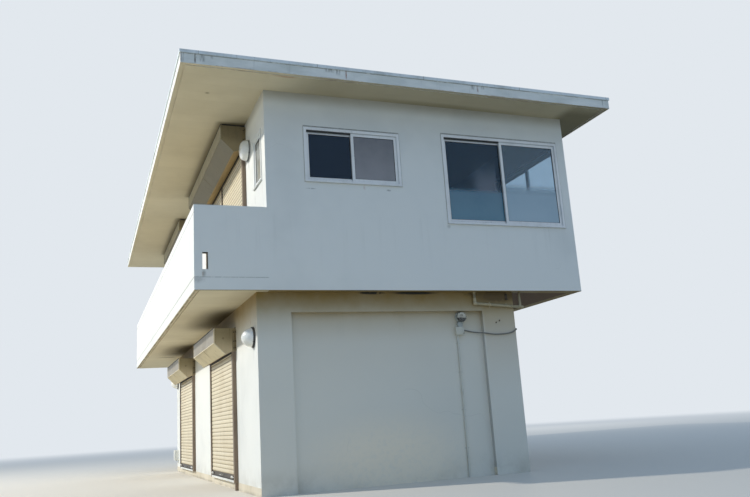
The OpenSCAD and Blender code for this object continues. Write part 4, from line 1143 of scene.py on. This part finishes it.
def makeMeter(m):
    wallFace = m["wall"]
    x, z = m["middle"]
    middle = Vector((x, wallFace, z))
    r, base, cover, dial = m["radius"], m["base"], m["cover"], m["dial"]
    side = [(r, 0.026), (r - 0.002, 0.030), (r - 0.002, 0.038)]
    shell = [turned([(0, 0), (r, 0), *side, (r - 0.006, base), (0, base)], middle, south, 48)]
    for degrees in (40, 140, 220, 320):
        lug = middle + spoke(degrees, 1) * (r - 0.005) + south * 0.020
        shell += [about(lug, (0.008, 0.016, 0.008), 0.003), screw(lug + south * 0.016, south, 0.005)]
    neck = Vector((m["neck"][0], wallFace, m["neck"][1]))
    r2, deep = m["neckRadius"], m["neckDepth"]
    shell.append(turned([(0, 0), (r2, 0), (r2, deep - 0.004), (r2 - 0.004, deep), (0, deep)], neck, south))
    for degrees in (45, 135, 225, 315):
        shell.append(screw(neck + spoke(degrees, 1) * (r2 - 0.012) + south * deep, south, 0.004))
    boxX, boxZ, face = m["boxX"], m["boxZ"], wallFace - m["boxDepth"]
    lid = [block(grown(boxX, -0.003), (face + 0.016, wallFace), grown(boxZ, -0.003), 0.004),
           block(boxX, (face, face + 0.020), boxZ, 0.005)]
    for i in range(3):
        low = boxZ[0] + 0.028 + i * 0.038
        lid.append(block(grown(boxX, -0.014), (face - 0.0025, face + 0.002), (low, low + 0.009), 0.002))
    for px in grown(boxX, -0.012):
        for pz in grown(boxZ, -0.012):
            lid.append(screw((px, face, pz), south, 0.0045))
    place = (boxX[1] - 0.012, face - 0.004, boxZ[0] + 0.026)
    seal = turned([(0, 0), (0.007, 0), (0.008, 0.003), (0.006, 0.007), (0, 0.008)], place, south, 12)
    outline = [(0, dial - 0.004), (r - 0.012, dial - 0.004), (r - 0.012, dial), (0, dial)]
    dialFace = wallFace - dial
    sheet = turned(outline, middle, south, 48)
    marks, digits = [], []
    for i, digit in enumerate(m["digits"]):
        px = x + (i - 2) * 0.013
        thick = (dialFace - 0.0015, dialFace + 0.001)
        marks.append(block(either(px, 0.0055), thick, (z + 0.022, z + 0.040), 0.0008))
        digits.append(numeral(digit, 0.014, (px, dialFace - 0.0017, z + 0.031)))
    thick = (dialFace - 0.003, dialFace + 0.001)
    marks.append(block(either(x, 0.034), thick, (z - 0.006, z - 0.0005), 0.0005))
    thick = (dialFace - 0.001, dialFace + 0.001)
    for i in range(-8, 9):
        tall = 0.006 if i % 4 == 0 else 0.0035
        px = x + i * 0.0038
        marks.append(block(either(px, 0.0006), thick, (z + 0.006, z + 0.006 + tall)))
    outline = [(0, 0), (0.030, 0), (0.030, 0.0012), (0, 0.0012)]
    disc = turned(outline, (x, dialFace + 0.006, z - 0.0038), up)
    edge = r - 0.008
    curve = [(edge, cover - 0.016), (edge - 0.004, cover - 0.006), (edge - 0.014, cover)]
    cap = turned([(edge, base - 0.001), *curve, (0, cover)], middle, south, 48)
    bmesh.ops.recalc_face_normals(cap, faces=cap.faces)
    bmesh.ops.solidify(cap, geom=cap.faces[:], thickness=0.002)
    piece("meter_shell", shell, "meterGrey", "electric_meter", True)
    piece("meter_terminals", lid, "meterLid", "electric_meter", True)
    piece("meter_dial", [sheet], "meterDial", "electric_meter", True)
    piece("meter_marks", marks + [seal], "rubber", "electric_meter")
    piece("meter_numbers", digits + [disc], "whitePlastic", "electric_meter")
    piece("meter_cover", [cap], "meterGlass", "electric_meter", True)


def dialFinish(m):  # pale above, dark below
    f = Finish("meterDial")
    dust = f.noise(40, 3, 0.6).fade(0.4, 0.8) * 0.1
    lower = f.z.fade(m["middle"][1] - 0.010, m["middle"][1] - 0.012)
    return f.coat(f.mix(f.mix(m["pale"], m["darkFace"], lower), m["darkFace"], dust), dust + 0.4)


finishes["meterDial"] = dialFinish(meter)
makeMeter(meter)
print("meter made")

fittings = {
    "conduit": (4.283, 0.195, 0.014), "downpipe": (5.41, 0.355, 0.038),  # x, y and radius
    "conduitStraps": (0.45, 1.05, 1.65, 2.12),  # heights
    "conduitSleeves": [(1.32, 0.06, 0), (2.222, 0.034, 0.002)],  # height, length and how much wider
    "downpipeHooks": (0.607, 1.643, 2.679), "downpipeSleeves": (0.02, 1.46),
    "drain": [(4.61, 0.102, 2.90), (4.90, 0.102, 2.744), (5.22, 0.102, 2.721), (5.46, 0.102, 2.704)],
    "drainRadius": 0.024, "bandHeight": 0.016, "beam": 0.13,  # face of the beam that carries the drain
    "hooks": [(4.995, 0.13, 2.446), (5.061, 0.13, 2.477)],
    "bracket": ((5.21, 5.26), (2.83, 2.94)),
    "gratings": [(0.45, 0.75, 3.16, 0.055), (0.45, 12.1, 3.16, 0.055)],  # in the balcony's floor
    "strainers": [(0.35, 1.2, 6.37), (0.35, 11.6, 6.37)],  # low domes over the roof's outlets
    "cable": [
        (4.372, 0.178, 2.332), (4.460, 0.184, 2.320), (4.557, 0.190, 2.303), (4.650, 0.170, 2.287),
        (4.735, 0.120, 2.274), (4.915, 0.112, 2.250), (5.080, 0.112, 2.250), (5.272, 0.112, 2.276),
        (5.340, 0.110, 2.308), (5.372, 0.122, 2.328), (5.374, 0.170, 2.344), (5.370, 0.220, 2.356),
        (5.350, 0.260, 2.362),
    ],
    "cableRadius": 0.010,
}


def strap(centre, along, radius, wallFace, ear=0.012):  # a pipe clip screwed to a wall that looks along -Y
    centre, along = Vector(centre), Vector(along).normalized()
    wide = fittings["bandHeight"]
    inner, outer = radius - 0.001, radius + 0.002
    outline = [(inner, 0), (outer, 0), (outer, wide), (inner, wide), (inner, 0)]
    yield turned(outline, centre - along * wide / 2, along, 24)
    across = along.cross(-south).normalized()
    for way in (-1, 1):
        foot = centre + across * way * (radius + ear)
        x, _, z = (abs(a) * (ear + 0.002) + abs(b) * wide / 2 for a, b in zip(across, along))
        yield about((foot.x, wallFace - 0.001, foot.z), (x, 0.002, z), 0.0008)
        yield screw((foot.x, wallFace - 0.003, foot.z), south, 0.0045)


def sleeve(start, end, radius):
    start, end = Vector(start), Vector(end)
    long = (end - start).length
    inner, outer = radius - 0.002, radius + 0.003
    outside = [(outer, 0), (outer + 0.001, 0.002), (outer + 0.001, long - 0.002), (outer, long)]
    return turned([(inner, 0), *outside, (inner, long), (inner, 0)], start, end - start, 24)


def tube(points, radius):  # a smooth round tube through points
    curve = bpy.data.curves.new("tube", "CURVE")
    curve.dimensions = "3D"
    curve.bevel_depth = radius
    curve.bevel_resolution = 4
    curve.use_fill_caps = True
    line = curve.splines.new("BEZIER")
    line.resolution_u = 8
    line.bezier_points.add(len(points) - 1)
    for knot, place in zip(line.bezier_points, points):
        knot.co = place
        knot.handle_left_type = knot.handle_right_type = "AUTO"
    return meshOf(curve)


def upright(x, y, start, length, radius):
    return sleeve((x, y, start), (x, y, start + length), radius)


cable = tube(fittings["cable"], fittings["cableRadius"])
piece("meter_cable_round", [cable], "cable", "meter_cable", True)

x, y, r = fittings["conduit"]
shapes = []
for z in fittings["conduitStraps"]:
    shapes += strap((x, y, z), up, r, meter["wall"])
shapes += [upright(x, y, z, long, r + more) for z, long, more in fittings["conduitSleeves"]]
piece("conduit_clips", shapes, "conduit", "meter_conduit")

first, *rest = [Vector(p) for p in fittings["drain"]]
r, face = fittings["drainRadius"], fittings["beam"]
shapes = [upright(first.x, first.y, first.z + 0.035, 0.024, r)]
run = (rest[-1] - rest[0]).normalized()
for place in rest[:2]:
    shapes += strap(place, run, r, face)
shapes.append(sleeve(rest[-1] + run * 0.010, rest[-1] + run * 0.070, r))
shapes.append(upright(first.x, first.y, first.z - 0.10, 0.05, r))
piece("drain_clips", shapes, "pipeCream", "drain_pipe")

x, y, r = fittings["downpipe"]
shapes = []
for z in fittings["downpipeHooks"]:
    shapes.append(about((x, y - r - 0.014, z), (0.010, 0.012, 0.012), 0.002))
    shapes.append(bolt((x + 0.010, y - r - 0.016, z), -west, 0.006))
shapes += [upright(x, y, z, 0.07, r) for z in fittings["downpipeSleeves"]]
piece("downpipe_clips", shapes, "pipeDark", "downpipe")

shapes = []
for x, y, z in fittings["hooks"]:
    shapes.append(about((x, y - 0.0015, z), (0.009, 0.0025, 0.012), 0.001))
    shapes.append(rod((x, y, z), (x, y - 0.022, z), 0.003, sides=10))
    shapes.append(rod((x, y - 0.020, z - 0.002), (x, y - 0.020, z + 0.016), 0.003, sides=10))
bracketX, bracketZ = fittings["bracket"]
shapes.append(block(bracketX, (face - 0.004, face + 0.001), bracketZ, 0.001))
shapes.append(block(bracketX, (face - 0.034, face), (bracketZ[0], bracketZ[0] + 0.005), 0.001))
for z in (bracketZ[0] + 0.03, bracketZ[1] - 0.02):
    shapes.append(bolt((sum(bracketX) / 2, face - 0.004, z), south, 0.007))
piece("wall_hooks", shapes, "darkMetal", "guide_metal")

low, high = (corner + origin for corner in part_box("outlet_box"))
middle = (low + high) / 2
height = (low.z, high.z)
lid = (low.x - 0.003, low.x + 0.002), grown((low.y, high.y), -0.012), grown(height, -0.012)
handle = (low.x - 0.008, low.x), (low.y + 0.022, low.y + 0.040), either(middle.z, 0.02)
shapes = [block(*lid, 0.002), block(*handle, 0.003)]
x, y = low.x + 0.006, high.y + 0.003
shapes += [rod((x, y, z - 0.018), (x, y, z + 0.018), 0.005, sides=12) for z in grown(height, -0.05)]
for z in grown(height, -0.014):
    shapes += [screw((low.x, y, z), west, 0.004) for y in grown((low.y, high.y), -0.02)]
outline = [(0, 0), (0.018, 0), (0.018, 0.012), (0.013, 0.016), (0.013, 0.026), (0.007, 0.028), (0, 0.028)]
shapes.append(turned(outline, (middle.x + 0.01, middle.y, low.z + 0.004), -up, 20))
piece("outlet_fittings", shapes, "whitePlastic", "outlet_box")

shapes = []
for x, y, z, r in fittings["gratings"]:
    inner = r - 0.012
    inside = [(inner, 0.001), (inner, 0.005), (inner + 0.002, 0.007)]
    shapes.append(turned([*inside, (r, 0.006), (r, -0.001), (inner, 0.001)], (x, y, z), up))
    for step in (i * 0.012 for i in range(-3, 4)):
        half = math.sqrt((inner + 0.001) ** 2 - step ** 2)
        shapes.append(about((x + step, y, z + 0.003), (0.003, half, 0.002)))
for place in fittings["strainers"]:
    outline = [(0, 0), (0.09, 0), (0.088, 0.006), (0.060, 0.010), (0.056, 0.028), (0.035, 0.040), (0, 0.043)]
    shapes.append(turned(outline, place, up))
    for degrees in range(0, 360, 30):
        foot = Vector(place) + spoke(degrees, 2) * 0.062 + up * 0.008
        head = Vector(place) + spoke(degrees, 2) * 0.057 + up * 0.032
        shapes.append(strip(foot, head, 0.008, 0.006))
piece("floor_drains", shapes, "zinc", "guide_metal")

roofLaps = {  # where the roof's sheets lap, and the extents of the laps
    "rows": spaced(0.15, 12.39, 13), "columns": (2.3, 4.7), "width": 0.09,
    "x": (0, 7.08), "y": (-0.38, 13.23), "rowZ": (6.369, 6.374), "columnZ": (6.369, 6.3725),
}
wide = roofLaps["width"]
shapes = [block(roofLaps["x"], (y, y + wide), roofLaps["rowZ"], 0.002) for y in roofLaps["rows"]]
shapes += [block((x, x + wide), roofLaps["y"], roofLaps["columnZ"], 0.0015) for x in roofLaps["columns"]]
piece("roof_laps", shapes, "roofSheet", "roof_slab")
print("small fittings made")

low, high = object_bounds()
{"cad": [list(cadLow), list(cadHigh)], "visual": [list(low), list(high)]}
